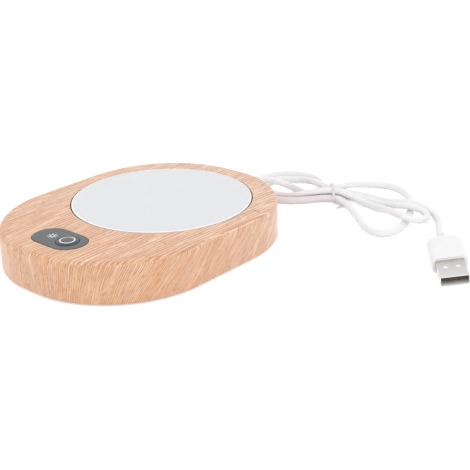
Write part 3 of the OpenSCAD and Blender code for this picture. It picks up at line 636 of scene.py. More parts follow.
class WARMER_OT_camera(bpy.types.Operator):
    """Place the camera that sees the warmer from its button end"""
    bl_idname = "warmer.camera"
    bl_label = "Camera"

    def execute(self, context):
        lens = bpy.data.cameras.new("camera")
        lens.lens = CAMERA_LENS
        lens.sensor_width = CAMERA_SENSOR
        lens.clip_start = 0.01
        camera = bpy.data.objects.new("camera", lens)
        camera.matrix_world = (
            Matrix.Translation(CAMERA_PLACE)
            @ Matrix.Rotation(math.radians(CAMERA_HEADING), 4, "Z")
            @ Matrix.Rotation(math.radians(90 - CAMERA_DIP), 4, "X")
            @ Matrix.Rotation(math.radians(CAMERA_ROLL), 4, "Z"))
        context.scene.collection.objects.link(camera)
        context.scene.camera = camera
        return {"FINISHED"}


EXIT = Vector((0, 0.0645, 0.0082))     # where the lead leaves the housing
RELIEF_LENGTH, RELIEF_NECK = 16 * MM, 3.5 * MM
# the sleeve stands along the lead, so its height becomes its place along +Y
RELIEF_PLACE = Matrix.Translation(EXIT) @ Matrix.Rotation(math.radians(-90), 4, "X")

# the plug lies upside down on the corner of its shell; its own X runs forwards out of its mouth
PLUG_TILT, PLUG_HEADING, PLUG_ROLL = 8.5, -50, 187
SHELL = Vector((12.4, 12, 4.5)) * MM   # length outside the grip, width, height
GRIP = Vector((18, 15, 7.6)) * MM
NECK = 4 * MM
MOUTH = Vector((0.1323, 0.0471, math.cos(math.radians(PLUG_TILT)) * (
    SHELL.y / 2 * abs(math.sin(math.radians(PLUG_ROLL))) + SHELL.z / 2)))
PLUG_PLACE = (
    Matrix.Translation(MOUTH)
    @ Matrix.Rotation(math.radians(PLUG_HEADING), 4, "Z")
    @ Matrix.Rotation(math.radians(PLUG_TILT), 4, "Y")
    @ Matrix.Rotation(math.radians(PLUG_ROLL), 4, "X"))
PLUG_END = SHELL.x + GRIP.x + NECK

# control points of the lead's smooth line, from the clamp inside the housing to the plug
ROUTE = [
    (0, 0.0513, 0.0082), (0, 0.0613, 0.0082), (0, 0.0715, 0.0082), (0, 0.0805, 0.0082),
    (0, 0.089, 0.0065), (0.004, 0.096, 0.0028), (0.012, 0.097, 0.0017), (0.02, 0.093, 0.0017),
    (0.026, 0.0935, 0.0019), (0.031, 0.0965, 0.0023), (0.036, 0.1, 0.0023),
    (0.043, 0.1052, 0.0019), (0.0535, 0.1048, 0.0018), (0.064, 0.1006, 0.0034),
    (0.0715, 0.0986, 0.006), (0.0778, 0.1024, 0.0056), (0.0849, 0.103, 0.0042),
    (0.0896, 0.0974, 0.0036), (0.0878, 0.0904, 0.004), (0.0809, 0.0876, 0.006),
    (0.0735, 0.0902, 0.0058), (0.067, 0.0945, 0.0039), (0.0575, 0.0993, 0.002),
    (0.0485, 0.1009, 0.0022), (0.0433, 0.0993, 0.0044), (0.038, 0.0985, 0.0057),
    (0.0325, 0.0955, 0.0057), (0.027, 0.0905, 0.0049), (0.0205, 0.0855, 0.0026),
    (0.011, 0.0825, 0.0017), (0, 0.0855, 0.0017), (-0.006, 0.095, 0.0017), (-0.002, 0.105, 0.0017),
    (0.009, 0.1085, 0.0022), (0.02, 0.1045, 0.0046), (0.029, 0.0985, 0.0056),
    (0.035, 0.101, 0.0056), (0.038, 0.107, 0.0065), (0.0365, 0.116, 0.0035), (0.04, 0.126, 0.0017),
    (0.051, 0.13, 0.0017), (0.062, 0.1235, 0.0017), (0.0705, 0.114, 0.0017),
    (0.076, 0.1035, 0.0017), (0.0805, 0.0935, 0.0017), (0.0835, 0.083, 0.0017),
    (0.0825, 0.074, 0.0017), (0.075, 0.0715, 0.0017), (0.067, 0.0765, 0.0017),
    (0.058, 0.0845, 0.0017), (0.048, 0.0925, 0.0019), (0.039, 0.097, 0.0023),
    (0.0335, 0.0945, 0.0023), (0.027, 0.086, 0.0019), (0.018, 0.0775, 0.0017),
    (0.005, 0.0765, 0.0017), (-0.007, 0.083, 0.0017), (-0.013, 0.096, 0.0017),
    (-0.01, 0.109, 0.0017), (0.001, 0.117, 0.0017), (0.012, 0.115, 0.0017),
    (0.021, 0.1075, 0.0019), (0.0285, 0.1013, 0.0023), (0.0345, 0.1033, 0.0023),
    (0.042, 0.109, 0.0019), (0.053, 0.109, 0.0017), (0.0635, 0.1057, 0.003),
    (0.0725, 0.1038, 0.0061), (0.0795, 0.107, 0.0056), (0.087, 0.1072, 0.0028),
    (0.0936, 0.101, 0.0017), (0.0988, 0.0915, 0.0017), (0.1045, 0.082, 0.0045),
    *[PLUG_PLACE @ Vector((-back, 0, 0)) for back in (PLUG_END + 4 * MM, PLUG_END - 2 * MM)],
]


def smooth_line(points, steps=8):
    """Points of the uniform cubic B-spline over control points, from the first to the last."""
    points = [Vector(point) for point in points]
    points = [2 * points[0] - points[1], *points, 2 * points[-1] - points[-2]]
    line = []
    for i in range(len(points) - 3):
        a, b, c, d = points[i:i + 4]
        for step in range(steps):
            u = step / steps
            line.append(((1 - u) ** 3 * a + (3 * u ** 3 - 6 * u * u + 4) * b
                         + (-3 * u ** 3 + 3 * u * u + 3 * u + 1) * c + u ** 3 * d) / 6)
    return [*line, points[-2]]


def vinyl(name, settings):
    """Soft PVC, extruded or moulded: white, even, with a soft sheen and the faintest waviness."""
    return mottled(name, settings.vinyl, darker(settings.vinyl, 0.97), 0.42, grain=1.2 * MM,
                   IOR=1.53)


class WARMER_OT_lead(bpy.types.Operator):
    """Lay the lead along its route, out of the housing, round in its hank and into the plug"""
    bl_idname = "warmer.lead"
    bl_label = "Lead"

    def execute(self, context):
        settings = context.scene.warmer_lead
        line = smooth_line(ROUTE)
        curve = bpy.data.curves.new("lead", "CURVE")
        curve.dimensions = "3D"
        curve.bevel_depth = settings.diameter / 2
        curve.bevel_resolution = 6
        curve.use_fill_caps = True
        spline = curve.splines.new("POLY")
        spline.points.add(len(line) - 1)
        for point, place in zip(spline.points, line):
            point.co = (*place, 1)
        spline.use_smooth = True
        lead = bpy.data.objects.new("usb_lead", curve)
        # painted shade: the lower strands between the housing and the tie are coloured a lilac
        # grey, for the shade of the strands above them
        made = vinyl("Extruded white PVC", settings)
        tree = made.node_tree
        place = node(tree, SPLIT, [node(tree, "ShaderNodeTexCoord").outputs["Object"]]).outputs
        lilac_shade = 0.6
        for axis, start, full in [("X", 6, 14), ("X", 40, 33), ("Z", 4.8, 3.6)]:
            inside = node(tree, RANGE, {
                "Value": place[axis], "From Min": start * MM, "From Max": full * MM})
            lilac_shade = node(tree, MATHS, [inside, lilac_shade], operation="MULTIPLY")
        tint(tree, lilac_shade, linear("E4D5DC"))
        curve.materials.append(made)
        context.scene.collection.objects.link(lead)
        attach(lead, "base")
        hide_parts("cord")
        return {"FINISHED"}


class WARMER_OT_strain_relief(bpy.types.Operator):
    """Turn the ribbed sleeve that keeps the lead from kinking at the housing"""
    bl_idname = "warmer.strain_relief"
    bl_label = "Strain relief"

    def execute(self, context):
        settings = context.scene.warmer_lead
        end_y = middle("housing", 1) + span("housing", 1) / 2
        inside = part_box("strain_relief")[0].y - end_y
        flange, neck, cone, bore = 4.6 * MM, RELIEF_NECK, 3.3 * MM, settings.diameter / 2
        wall = context.scene.warmer_housing.wall + 0.05 * MM
        tip = bore + 0.6 * MM
        ribs, first, groove = 6, 3.2 * MM, 0.45 * MM
        pitch = (RELIEF_LENGTH - first - 1.2 * MM) / ribs
        section = [(bore, RELIEF_LENGTH), (tip - 0.2 * MM, RELIEF_LENGTH),
                   (tip, RELIEF_LENGTH - 0.3 * MM)]
        for i in reversed(range(ribs)):
            low = first + i * pitch
            for along, depth in ((0.85, 0), (0.7, groove), (0.35, groove), (0.2, 0)):
                at = low + along * pitch
                full = cone + (tip - cone) * at / RELIEF_LENGTH
                section.append((full - depth, at))
        section += [(cone, 1.7 * MM), (flange - 0.4 * MM, 1.2 * MM), (flange, 0.8 * MM),
                    (flange, 0), (neck, 0), (neck, -wall), (flange, -wall), (flange, inside),
                    (bore, inside)]
        sleeve = moved(turned(section + section[:1]), RELIEF_PLACE)
        piece("lead_strain_relief", sleeve, vinyl("Moulded white PVC sleeve", settings),
              ["strain_relief"])
        return {"FINISHED"}


TIE_CENTRE = Vector((0.0338, 0.0986, 0))
TIE_ANGLE = 41.5
TIE_WIDTH, TIE_THICKNESS = 1.2 * MM, 0.45 * MM
TIE_TWIST, TIE_FLATNESS = 36, 0.45   # of its twisted ends: degrees a step, and share pressed away
TIE_STRANDS = [(-4.5, 2.4), (5.2, 2.4), (-2.6, 5.8), (2.3, 5.7)]   # outer strands, in millimetres
TIE_TAIL = [(0.0382, 0.0937, 0.0018), (0.0395, 0.0937, 0.0013), (0.0415, 0.0936, 0.001),
            (0.0438, 0.0932, 0.0009), (0.0442, 0.091, 0.0009), (0.0438, 0.0883, 0.0009)]


class WARMER_OT_tie(bpy.types.Operator):
    """Wrap the tie round the hank, with its two ends twisted together"""
    bl_idname = "warmer.tie"
    bl_label = "Hank tie"

    def execute(self, context):
        settings = context.scene.warmer_lead
        reach = settings.diameter / 2 + 0.1 * MM
        circles = [Vector((x * MM + reach * math.cos(math.radians(a)),
                           z * MM + reach * math.sin(math.radians(a))))
                   for x, z in TIE_STRANDS for a in range(0, 360, 10)]
        around = [circles[i] for i in convex_hull_2d(circles)]
        # a flat ribbon with a wire down its middle
        ribbon = [(-0.5, 0), (-0.5, 0.35), (-0.42, 0.6), (-0.18, 0.62), (0, 1), (0.18, 0.62),
                  (0.42, 0.6), (0.5, 0.35), (0.5, 0)]
        rings = []
        for before, point, after in zip(around[-1:] + around, around, around[1:] + around[:1]):
            along = (after - before).normalized()
            out = Vector((along.y, -along.x))
            rings.append([(point.x + out.x * h * TIE_THICKNESS, w * TIE_WIDTH,
                           point.y + out.y * h * TIE_THICKNESS) for w, h in ribbon])
        loop = moved(skin(rings, closed=True), Matrix.Translation(TIE_CENTRE)
                     @ Matrix.Rotation(math.radians(TIE_ANGLE - 90), 4, "Z"))
        line = smooth_line(TIE_TAIL)
        tail = []
        for i, place in enumerate(line):
            along = (line[min(i + 1, len(line) - 1)] - line[max(i - 1, 0)]).normalized()
            side = along.cross(Vector((0, 0, 1))).normalized()
            up = side.cross(along)
            twist = math.radians(TIE_TWIST * i)
            tail.append([place + 0.5 * TIE_WIDTH * (
                math.cos(a + twist) * side + math.sin(a + twist) * up)
                * (1 - TIE_FLATNESS * math.sin(a) ** 2)
                for a in [math.radians(b) for b in range(0, 360, 30)]])
        # extruded flat over a soft wire: smooth, with a soft sheen
        made = mottled("Plastic-coated tie wire", linear("E9E7EA"), linear("DBD9DE"), 0.4,
                       grain=0.8 * MM)
        piece("hank_tie", joined([loop, skin(tail)]), made, ["twist_tie"])
        return {"FINISHED"}


class WARMER_OT_plug(bpy.types.Operator):
    """Build the plug's moulded grip and its metal shell"""
    bl_idname = "warmer.plug"
    bl_label = "Plug"

    def execute(self, context):
        settings = context.scene.warmer_lead
        # grip: sections from its front face back to the neck, as place, half width, half height and
        # corner: a soft front edge, straight sides, and shoulders that draw in towards the neck
        half_y, half_z, soft, round_corner = GRIP.y / 2, GRIP.z / 2, 0.5 * MM, 2.4 * MM
        front, back = -SHELL.x, -SHELL.x - GRIP.x
        sections = []
        for t in [math.radians(a) for a in range(0, 91, 15)]:
            inset = soft * (1 - math.sin(t))
            sections.append((front - soft * (1 - math.cos(t)), half_y - inset, half_z - inset,
                             round_corner))
        shoulder, narrowing, thinning = 4.6 * MM, 3.1 * MM, 0.9 * MM
        sections += [(back + shoulder, half_y, half_z, round_corner)]
        for t in [math.radians(90 * i / 8) for i in range(1, 9)]:
            drawn_in = 1 - math.cos(t)
            sections.append((back + shoulder - (shoulder - 0.2 * MM) * math.sin(t),
                             half_y - narrowing * drawn_in, half_z - thinning * drawn_in,
                             round_corner))
        neck_r, tip_r = 2.8 * MM, settings.diameter / 2 + 0.5 * MM
        sections += [(back + 0.05 * MM, neck_r + 0.9 * MM, neck_r + 0.3 * MM, neck_r),
                     (back - 0.3 * MM, neck_r, neck_r, neck_r - 0.01 * MM),
                     (back - NECK + 0.3 * MM, tip_r, tip_r, tip_r - 0.01 * MM),
                     (back - NECK, tip_r - 0.3 * MM, tip_r - 0.3 * MM, tip_r - 0.32 * MM)]
        rings = [[(x, y, z) for y, z in rounded(wide, tall, min(corner, tall - 0.01 * MM), 8)]
                 for x, wide, tall, corner in reversed(sections)]
        grip = skin(rings)
        # the shell goes into a pocket in its front face, and the lead into a bore in its neck
        slip, inside, shell_corner = 0.05 * MM, 4 * MM, 0.6 * MM
        pocket = bar(rounded(SHELL.y / 2 + slip, SHELL.z / 2 + slip, shell_corner),
                     front - inside, front + MM)
        reach = settings.diameter / 2
        bore = bar(rounded(reach + slip, reach + slip, reach),
                   back - NECK - MM, back - NECK + 3 * MM)
        piece("plug_moulding", moved(cut(grip, [pocket, bore]), PLUG_PLACE),
              vinyl("Moulded white PVC grip", settings), ["plug_grip"], sharp=40)

        # shell: folded sheet with a softened rim, dimples pressed into both faces, and a seam
        sheet, rim = 0.3 * MM, 0.08 * MM
        half = (SHELL.y / 2, SHELL.z / 2)
        walls = [(front - inside, 0), (-rim, 0), (0, rim), (0, sheet - rim), (-rim, sheet),
                 (front - inside, sheet)]
        tube = skin([[(x, y, z) for y, z in rounded(half[0] - inset, half[1] - inset,
                                                    shell_corner - inset, 8)]
                     for x, inset in walls], closed=True)
        ball, depth = 4 * MM, 0.2 * MM
        pressed = [Vector((-7.2 * MM, y, z * half[1]))
                   for y in (-2.6 * MM, 2.6 * MM) for z in (-1, 1)]
        domes = []
        for spot in pressed:
            centre = (spot.x, spot.y, spot.z * (1 + (ball - depth) / half[1]))
            domes.append(moved(turned(arc((0, 0), ball, 90, -90, 96), steps=48),
                               Matrix.Translation(centre)))
        seam = bar(rounded(0.06 * MM, 0.1 * MM, 0.02 * MM, 2), front - inside - MM, MM)
        moved(seam, Matrix.Translation((0, 0, -half[1])))
        # plated after it was stamped: bright, with faint marks along its length
        made = mottled("Nickel-plated stamped steel", settings.shell, linear("C2BFB9"), 0.3,
                       0.25 * MM, 0.003 * MM, (0.15, 1, 1), (0, 0, math.radians(-PLUG_HEADING)))
        tree = made.node_tree
        place = node(tree, "ShaderNodeMapping", {
            "Vector": node(tree, "ShaderNodeTexCoord").outputs["Object"],
            "Location": tuple(MOUTH), "Rotation": tuple(PLUG_PLACE.to_euler())},
            vector_type="TEXTURE")
        # painted light: brighter towards the mouth
        along = node(tree, SPLIT, [place]).outputs["X"]
        forwards = node(tree, RANGE, {"Value": along, "From Min": -SHELL.x, "From Max": 0})
        tint(tree, forwards, linear("E0E0E0"))
        # dull and white inside
        unsigned = node(tree, VECTORS, [place], operation="ABSOLUTE")
        within = (0, half[0] - 0.2 * MM, half[1] - 0.2 * MM)
        past = node(tree, SPLIT, [node(tree, VECTORS, [unsigned, within], operation="SUBTRACT")])
        nearest = node(tree, MATHS, [past.outputs["Y"], past.outputs["Z"]], operation="MAXIMUM")
        inner = node(tree, MATHS, [nearest, 0.0], operation="LESS_THAN")
        tint(tree, inner, linear("FBFBFA"))
        plated = node(tree, RANGE, {"Value": inner, "To Min": 1.0, "To Max": 0.0})
        feed(tree, shader_of(tree), {"Metallic": plated})
        # painted highlight: a bright spot in each dimple
        for spot in pressed:
            away = node(tree, VECTORS, [place, tuple(spot)], operation="DISTANCE")
            bright = node(tree, RANGE, {
                "Value": away, "From Min": 1.15 * MM, "From Max": 0.7 * MM, "To Max": 0.8})
            tint(tree, bright, linear("FFFEFC"))
        piece("plug_metal_shell", moved(cut(tube, [*domes, seam]), PLUG_PLACE), made,
              ["plug_shell"], sharp=40)
        return {"FINISHED"}


# ---- operators: housing ----

class WARMER_OT_housing(bpy.types.Operator):
    """Build the housing with its openings, ledges and posts, wrapped in its film"""
    bl_idname = "warmer.housing"
    bl_label = "Housing"

    def execute(self, context):
        settings, plate, panel = (context.scene.warmer_housing, context.scene.warmer_plate,
                                  context.scene.warmer_panel)
        high, low = top("housing"), bottom("housing")
        ceiling, inner = high - settings.wall, -settings.wall
        edge, foot_edge, lip = settings.edge, 0.4 * MM, 0.25 * MM
        wall = swept([(-edge - 0.4 * MM, high), *arc((-edge, high - edge), edge, 90, 0, 12),
                      *arc((-foot_edge, low + foot_edge), foot_edge, 0, -90, 4), (inner, low),
                      (inner, ceiling)], settings.width, settings.length, settings.corner)

        # the plate's opening, with the ledge that its gasket lies on
        opening = plate.diameter / 2 + plate.gap
        ledge = span("heater_film", 0) / 2 + 1.5 * MM - opening
        skirt, skirt_low, ledge_low = 2.5 * MM, bottom("insulation_pad"), bottom("plate_gasket")
        around_plate = swept_round([
            (skirt, ceiling), (skirt, skirt_low), (ledge, skirt_low), (ledge, ledge_low),
            (0, ledge_low), *lipped(high, lip)], opening, (0, middle("heating_plate", 1)))

        # the panel's recess in the thicker part of the top wall, with the button's pocket and the
        # light guide's hole
        slip, boss_low, recess = 0.15 * MM, ceiling - 2 * MM, bottom("button_panel")
        panel_y = middle("button_panel", 1)
        panel_plan = (panel.width + 2 * slip, panel.depth + 2 * slip,
                      panel.depth / 2 + slip, (0, panel_y))
        around_panel = swept([(0, recess), *lipped(high, lip)], *panel_plan)
        boss_out = 2 * MM - slip
        boss = swept([(boss_out, ceiling), (boss_out, boss_low)], *panel_plan)
        pocket = span("button_seal", 0) / 2 + 0.2 * MM
        step = 2.5 * MM - pocket
        around_button = swept_round([(step, boss_low), (step, bottom("button_seal")),
                                     (0, bottom("button_seal")), (0, recess)],
                                    pocket, (middle("power_button", 0), panel_y), 12)
        guide = span("light_guide", 0) / 2 + 0.05 * MM
        around_guide = swept_round([(0, boss_low), (0, recess)], guide,
                                   (middle("light_guide", 0), panel_y), 12)
        shell = joined([wall, around_plate, around_panel, boss, around_button, around_guide],
                       [(high, True), (ceiling, False), (recess, True), (boss_low, False)])

        # the hole that the strain relief's neck passes through
        bore = RELIEF_NECK + 0.05 * MM
        hole = turned([(0, 4 * MM), (bore, 4 * MM), (bore, -3 * MM), (0, -3 * MM)])
        shell = cut(shell, [moved(hole, RELIEF_PLACE)])

        # posts that the screws drive into: radius, lowest height, depth of the hole, places
        pilot, root = 1.15 * MM, ceiling + 0.3 * MM
        board_x = span("control_board", 0) / 2 - 3.5 * MM
        board_y, board_mid = span("control_board", 1) / 2 - 3 * MM, middle("control_board", 1)
        clamp_y = middle("cord_clamp", 1)
        posts = []
        for radius, foot, depth, places in [
                (3.2 * MM, top("bottom_cover"), 7 * MM, screw_places(settings, 0)),
                (2.6 * MM, top("control_board"), 4 * MM,
                 [(x * board_x, board_mid + y * board_y, 0, 0) for x in (-1, 1) for y in (-1, 1)]),
                (2.6 * MM, top("cord_clamp"), 4 * MM,
                 [(x * 6.5 * MM, clamp_y, 0, 0) for x in (-1, 1)])]:
            post = turned([(0, root), (radius, root), (radius, foot), (pilot, foot),
                           (pilot, foot + depth), (0, foot + depth)], steps=8)
            posts.append(copies(post, places))
        piece("wood_housing", joined([shell, *posts]), wood_film(settings),
              ["housing"])
        return {"FINISHED"}


class WARMER_OT_feet(bpy.types.Operator):
    """Set the four rubber feet into the bottom cover"""
    bl_idname = "warmer.feet"
    bl_label = "Feet"

    def execute(self, context):
        settings = context.scene.warmer_housing
        radius, height, soft = settings.foot / 2, top("rubber_feet"), 0.35 * MM
        foot = turned([(0, height), (radius, height), *arc((radius - soft, soft), soft, 0, -90, 5),
                       (radius - 1.6 * MM, 0), (radius - 1.9 * MM, 0.2 * MM), (0, 0.2 * MM)])
        places = [(*by_corner(settings, x, y, angle, 10 * MM), 0, 0)
                  for x in (-1, 1) for y, angle in ((-1, 52), (1, 62))]
        # moulded in one piece with a shallow dish, so that it grips: dull black
        made = mottled("Moulded rubber", linear("2C2C2E"), linear("222224"), 0.85,
                       relief=0.03 * MM)
        piece("foot_pads", copies(foot, places), made, ["rubber_feet"])
        return {"FINISHED"}


class WARMER_OT_screws(bpy.types.Operator):
    """Drive the cross-head screws that hold the bottom cover"""
    bl_idname = "warmer.screws"
    bl_label = "Cover screws"

    def execute(self, context):
        head_r, head_h, shank, tip, soft = SCREW_HEAD, 1.2 * MM, 1.1 * MM, 8 * MM, 0.5 * MM
        body = turned([(0, tip), (0.3 * MM, tip), (shank, tip - 1.2 * MM), (shank, head_h),
                       (head_r, head_h), *arc((head_r - soft, soft), soft, 0, -90, 5), (0, 0)])
        arm, half = 1.3 * MM, 0.25 * MM
        quarter = [(arm, -half), (arm, half), (half, half)]
        cross = []
        for _ in range(4):
            cross += quarter
            quarter = [(-y, x) for x, y in quarter]
        drive = skin([[(x * k, y * k, z) for x, y in cross]
                      for z, k in ((-0.1 * MM, 1), (0.7 * MM, 0.75))])
        places = screw_places(context.scene.warmer_housing, bottom("cover_screws"))
        screws = copies(cut(body, [drive]), places, play=math.pi / 2, seed=3)
        piece("cover_screw_set", screws, packed_finish("plated_steel"),
              ["cover_screws"])
        return {"FINISHED"}


# ---- operators: plate and panel ----

class WARMER_OT_plate(bpy.types.Operator):
    """Build the heating plate with its low rim and its studs"""
    bl_idname = "warmer.plate"
    bl_label = "Heating plate"

    def execute(self, context):
        settings = context.scene.warmer_plate
        radius, high, soft = settings.diameter / 2, top("heating_plate"), 0.25 * MM
        thickness, stud_circle = 1.5 * MM, 30 * MM
        low, face = high - thickness, high - settings.dish
        centre = (0, middle("heating_plate", 1))
        disc = turned([(0, face), (radius - 1.5 * MM, face), (radius - 1.15 * MM, face),
                       (radius - 1.02 * MM, face + 0.3 * settings.dish),
                       (radius - 0.9 * MM, high - 0.1 * settings.dish), (radius - 0.78 * MM, high),
                       *arc((radius - soft, high - soft), soft, 90, 0, 6),
                       *arc((radius - soft, low + soft), soft, 0, -90, 4), (0, low)],
                      centre, CORNER_STEPS)
        end = bottom("heating_plate")
        stud = turned([(0, low + soft), (1.5 * MM, low + soft), (1.5 * MM, end + 0.3 * MM),
                       (1.2 * MM, end), (0, end)], steps=8)
        studs = [(stud_circle * math.cos(a), centre[1] + stud_circle * math.sin(a), 0, 0)
                 for a in [math.radians(b) for b in (90, 210, 330)]]
        # baked powder coat on a turned aluminium disc: satin, even, barely speckled
        made = mottled("Powder coat on turned aluminium", settings.coating,
                       darker(settings.coating, 0.985), 0.38, grain=0.35 * MM, relief=0.003 * MM)
        # painted highlight: a near-white ring just inside the rim's edge, for the light the edge
        # catches
        tree = made.node_tree
        rim_highlight = node(tree, RANGE, {
            "Value": away_from(tree, centre), "From Min": radius - 0.75 * MM,
            "From Max": radius - 0.55 * MM})
        tint(tree, rim_highlight, settings.rim)
        piece("warming_plate", joined([disc, copies(stud, studs)]), made,
              ["heating_plate"])
        return {"FINISHED"}


def satin_slate(name, settings):
    """ABS moulded in a finely etched tool: slate grey with a satin sheen."""
    return mottled(name, settings.slate, darker(settings.slate, 0.93), 0.3, grain=0.3 * MM,
                   relief=0.004 * MM)


INK = 0.015 * MM          # how far the print stands proud


def screen_ink(settings):
    """Screen-printed ink: light, thin and a little glossy, its edges very slightly raised."""
    return mottled("Screen-printed ink", settings.ink, darker(settings.ink, 0.95), 0.35,
                   grain=0.2 * MM, relief=0.002 * MM)


class WARMER_OT_panel(bpy.types.Operator):
    """Build the capsule-shaped panel with the button's hole"""
    bl_idname = "warmer.panel"
    bl_label = "Button panel"

    def execute(self, context):
        settings = context.scene.warmer_panel
        high, low, soft = top("button_panel"), bottom("button_panel"), 0.3 * MM
        at = (0, middle("button_panel", 1))
        rim = swept([(-0.7 * MM, high), *arc((-soft, high - soft), soft, 90, 0, 6), (0, low)],
                    settings.width, settings.depth, settings.depth / 2, at)
        around_button = swept_round([(0, low), *lipped(high, 0.15 * MM, 4)],
                                    settings.button / 2 + 0.2 * MM,
                                    (middle("power_button", 0), at[1]), 24)
        piece("slate_panel", joined([rim, around_button], [(high, True), (low, False)]),
              satin_slate("Moulded satin ABS panel", settings), ["button_panel"])
        return {"FINISHED"}


def dome_height(settings, radius):
    """Height of the button's top at a radius: flat in the middle and steep at the edge."""
    low = top("button_panel")
    return low + (top("power_button") - low) * (1 - (2 * radius / settings.button) ** 4)


class WARMER_OT_button(bpy.types.Operator):
    """Build the domed power button, with its flange, its stem and its printed ring"""
    bl_idname = "warmer.button"
    bl_label = "Power button"

    def execute(self, context):
        settings = context.scene.warmer_panel
        radius, at = settings.button / 2, (middle("power_button", 0), middle("power_button", 1))
        flange_low, flange_high, flange_r = 16.5 * MM, 17.3 * MM, span("power_button", 0) / 2
        stem, end = 2.2 * MM, bottom("power_button")
        rings = 28
        dome = [(radius * i / rings, dome_height(settings, radius * i / rings))
                for i in range(rings)]
        edge = dome_height(settings, radius) - 0.1 * MM
        body = turned([*dome, (radius - 0.02 * MM, edge + 0.08 * MM), (radius, edge),
                       (radius, flange_high), (flange_r, flange_high), (flange_r, flange_low),
                       (stem, flange_low), (stem, end), (0, end)], at, 24)
        # painted shade: the flank is coloured darker than the top, for the shade on it
        finish = satin_slate("Moulded satin ABS button", settings)
        tree = finish.node_tree
        flank_shade = node(tree, RANGE, {
            "Value": away_from(tree, at), "From Min": 0.7 * radius, "From Max": 0.85 * radius,
            "To Max": 0.45})
        tint(tree, flank_shade, linear("1E2124"))
        piece("button_cap", body, finish, ["power_button"], "button")

        half, middle_r = settings.line / 2, settings.ring / 2
        across = [(middle_r + half * k, dome_height(settings, middle_r + half * k) + INK)
                  for k in (-1, -0.5, 0, 0.5, 1)]
        inner, outer = [(radius, height - 4 * INK) for radius, height in (across[0], across[-1])]
        ring = turned([inner, *across, outer, inner], at, 24)
        piece("button_ring", ring, screen_ink(settings), body="button")
        return {"FINISHED"}


class WARMER_OT_sun(bpy.types.Operator):
    """Print the small sun that marks the indicator"""
    bl_idname = "warmer.sun"
    bl_label = "Sun mark"

    def execute(self, context):
        settings = context.scene.warmer_panel
        high, at = top("button_panel"), (middle("light_guide", 0), middle("button_panel", 1))
        line, ring_r, ray_from, ray_to = 0.95 * settings.line, 0.95 * MM, 1.5 * MM, 2.3 * MM
        half, upper, lower = line / 2, high + INK, high - 2 * INK
        ring = turned([(ring_r - half, lower), (ring_r - half, upper), (ring_r + half, upper),
                       (ring_r + half, lower), (ring_r - half, lower)], at, 10)
        outline = rounded((ray_to - ray_from) / 2, half, 0.45 * line, 3)
        ray = skin([[(x + (ray_to + ray_from) / 2, y, z) for x, y in outline]
                    for z in (lower, upper)])
        rays = copies(ray, [(*at, 0, math.tau * i / settings.rays) for i in range(settings.rays)])
        piece("sun_mark", joined([ring, rays]), screen_ink(settings))
        return {"FINISHED"}


# ---- operators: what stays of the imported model, and the stage ----

class WARMER_OT_inside(bpy.types.Operator):
    """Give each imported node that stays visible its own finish"""
    bl_idname = "warmer.inside"
    bl_label = "Inner parts"

    def execute(self, context):
        slots = {part["node"]: part["material_slot"] for part in frame["record"]["subparts"]}
        finishes = {}
        for name, part in frame["nodes"].items():
            slot = slots[name]
            if part.hide_render or slot not in FINISHES:
                continue
            if slot not in finishes:
                finishes[slot] = packed_finish(slot)
            part.data.materials.clear()
            part.data.materials.append(finishes[slot])
        # extruded over stranded wire, even and soft: red to the board, grey to the sensor
        for name, light, dark in [("power_leads", "A03A34", "8A2F2A"),
                                  ("sensor_leads", "55565A", "47484B")]:
            frame["nodes"][name].data.materials[0] = mottled(
                f"Extruded insulation of the {name.replace('_', ' ')}", linear(light),
                linear(dark), 0.45, grain=0.8 * MM)
        return {"FINISHED"}


def seen_ray(tree):
    """One for what the camera sees straight, in a mirror or through glass, and zero otherwise."""
    path = node(tree, "ShaderNodeLightPath").outputs
    seen = path["Is Camera Ray"]
    for ray in ("Is Glossy Ray", "Is Transmission Ray"):
        seen = node(tree, MATHS, [seen, path[ray]], operation="MAXIMUM")
    return seen


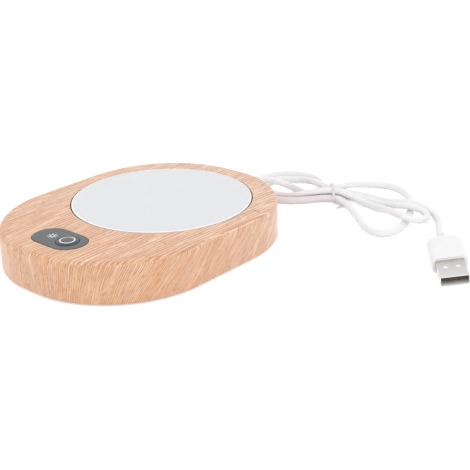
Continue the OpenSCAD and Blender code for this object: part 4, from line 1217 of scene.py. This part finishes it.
class WARMER_OT_stage(bpy.types.Operator):
    """Lay the pale floor and set the soft light"""
    bl_idname = "warmer.stage"
    bl_label = "Stage"

    def execute(self, context):
        settings = context.scene.warmer_stage
        half, glow = 4.0, 0.45
        mesh = bpy.data.meshes.new("floor")
        mesh.from_pydata([(-half, -half, 0), (half, -half, 0), (half, half, 0), (-half, half, 0)],
                         [], [(0, 1, 2, 3)])
        floor = bpy.data.objects.new("floor", mesh)
        context.scene.collection.objects.link(floor)
        # painted board, lit so that it reads as white and still shows the warmer's shadow
        made, tree, shader = surface("White painted board", {
            "Base Color": settings.floor, "Roughness": 0.9, "Specular IOR Level": 0.0,
            "Emission Color": (1, 1, 1, 1)})[:3]
        lift = node(tree, MATHS, [seen_ray(tree), glow], operation="MULTIPLY")
        feed(tree, shader, {"Emission Strength": lift})
        mesh.materials.append(made)

        world = bpy.data.worlds.new("surround")
        world.use_nodes = True
        tree = world.node_tree
        tree.nodes.clear()
        level = node(tree, RANGE, {
            "Value": seen_ray(tree), "To Min": settings.daylight, "To Max": 1.0})
        sky = node(tree, "ShaderNodeBackground", {"Color": (1, 1, 1, 1), "Strength": level})
        node(tree, "ShaderNodeOutputWorld", {"Surface": sky})
        context.scene.world = world

        lamp = bpy.data.lights.new("soft_box", "AREA")
        lamp.energy = settings.softbox
        lamp.shape = "RECTANGLE"
        lamp.size, lamp.size_y = 1.4, 0.6
        box = bpy.data.objects.new("soft_box", lamp)
        place, target = Vector((0.7, -0.3, 0.75)), Vector((0.03, 0.03, 0))
        aim = (target - place).to_track_quat("-Z", "Y")
        box.matrix_world = Matrix.Translation(place) @ aim.to_matrix().to_4x4()
        context.scene.collection.objects.link(box)

        context.scene.view_settings.view_transform = "Standard"
        return {"FINISHED"}


class WARMER_PT_pieces(bpy.types.Panel):
    """Lists the steps that build the mug warmer"""
    bl_label = "Mug Warmer"
    bl_idname = "WARMER_PT_pieces"
    bl_space_type = "VIEW_3D"
    bl_region_type = "UI"
    bl_category = "Mug Warmer"

    def draw(self, context):
        for name in GROUPS:
            group = getattr(context.scene, name)
            box = self.layout.box()
            box.label(text=name.replace("_", " ").capitalize())
            for key in group.__annotations__:
                box.prop(group, key)
        for step in STEPS:
            self.layout.operator(step.bl_idname)


GROUPS = {"warmer_housing": HousingSettings, "warmer_plate": PlateSettings,
          "warmer_panel": PanelSettings, "warmer_lead": LeadSettings, "warmer_stage": StageSettings}
# in the order in which they run: the camera and the lead with what is on it come first
STEPS = [WARMER_OT_camera, WARMER_OT_strain_relief, WARMER_OT_tie, WARMER_OT_plug, WARMER_OT_lead,
         WARMER_OT_housing, WARMER_OT_feet, WARMER_OT_screws, WARMER_OT_plate, WARMER_OT_panel,
         WARMER_OT_button, WARMER_OT_sun, WARMER_OT_inside, WARMER_OT_stage]
TREES = {}                # the two geometry trees, which main builds once


def register():
    for group in [*GROUPS.values(), *STEPS, WARMER_PT_pieces]:
        bpy.utils.register_class(group)
    for name, group in GROUPS.items():
        setattr(bpy.types.Scene, name, PointerProperty(type=group))


def unregister():
    for name in GROUPS:
        delattr(bpy.types.Scene, name)
    for group in reversed([*GROUPS.values(), *STEPS, WARMER_PT_pieces]):
        bpy.utils.unregister_class(group)


def main():
    register()
    TREES.update(sweep=sweep_tree(), copies=copies_tree())
    for step in STEPS:
        area, name = step.bl_idname.split(".")
        getattr(getattr(bpy.ops, area), name)()


if __name__ == "__main__":
    main()
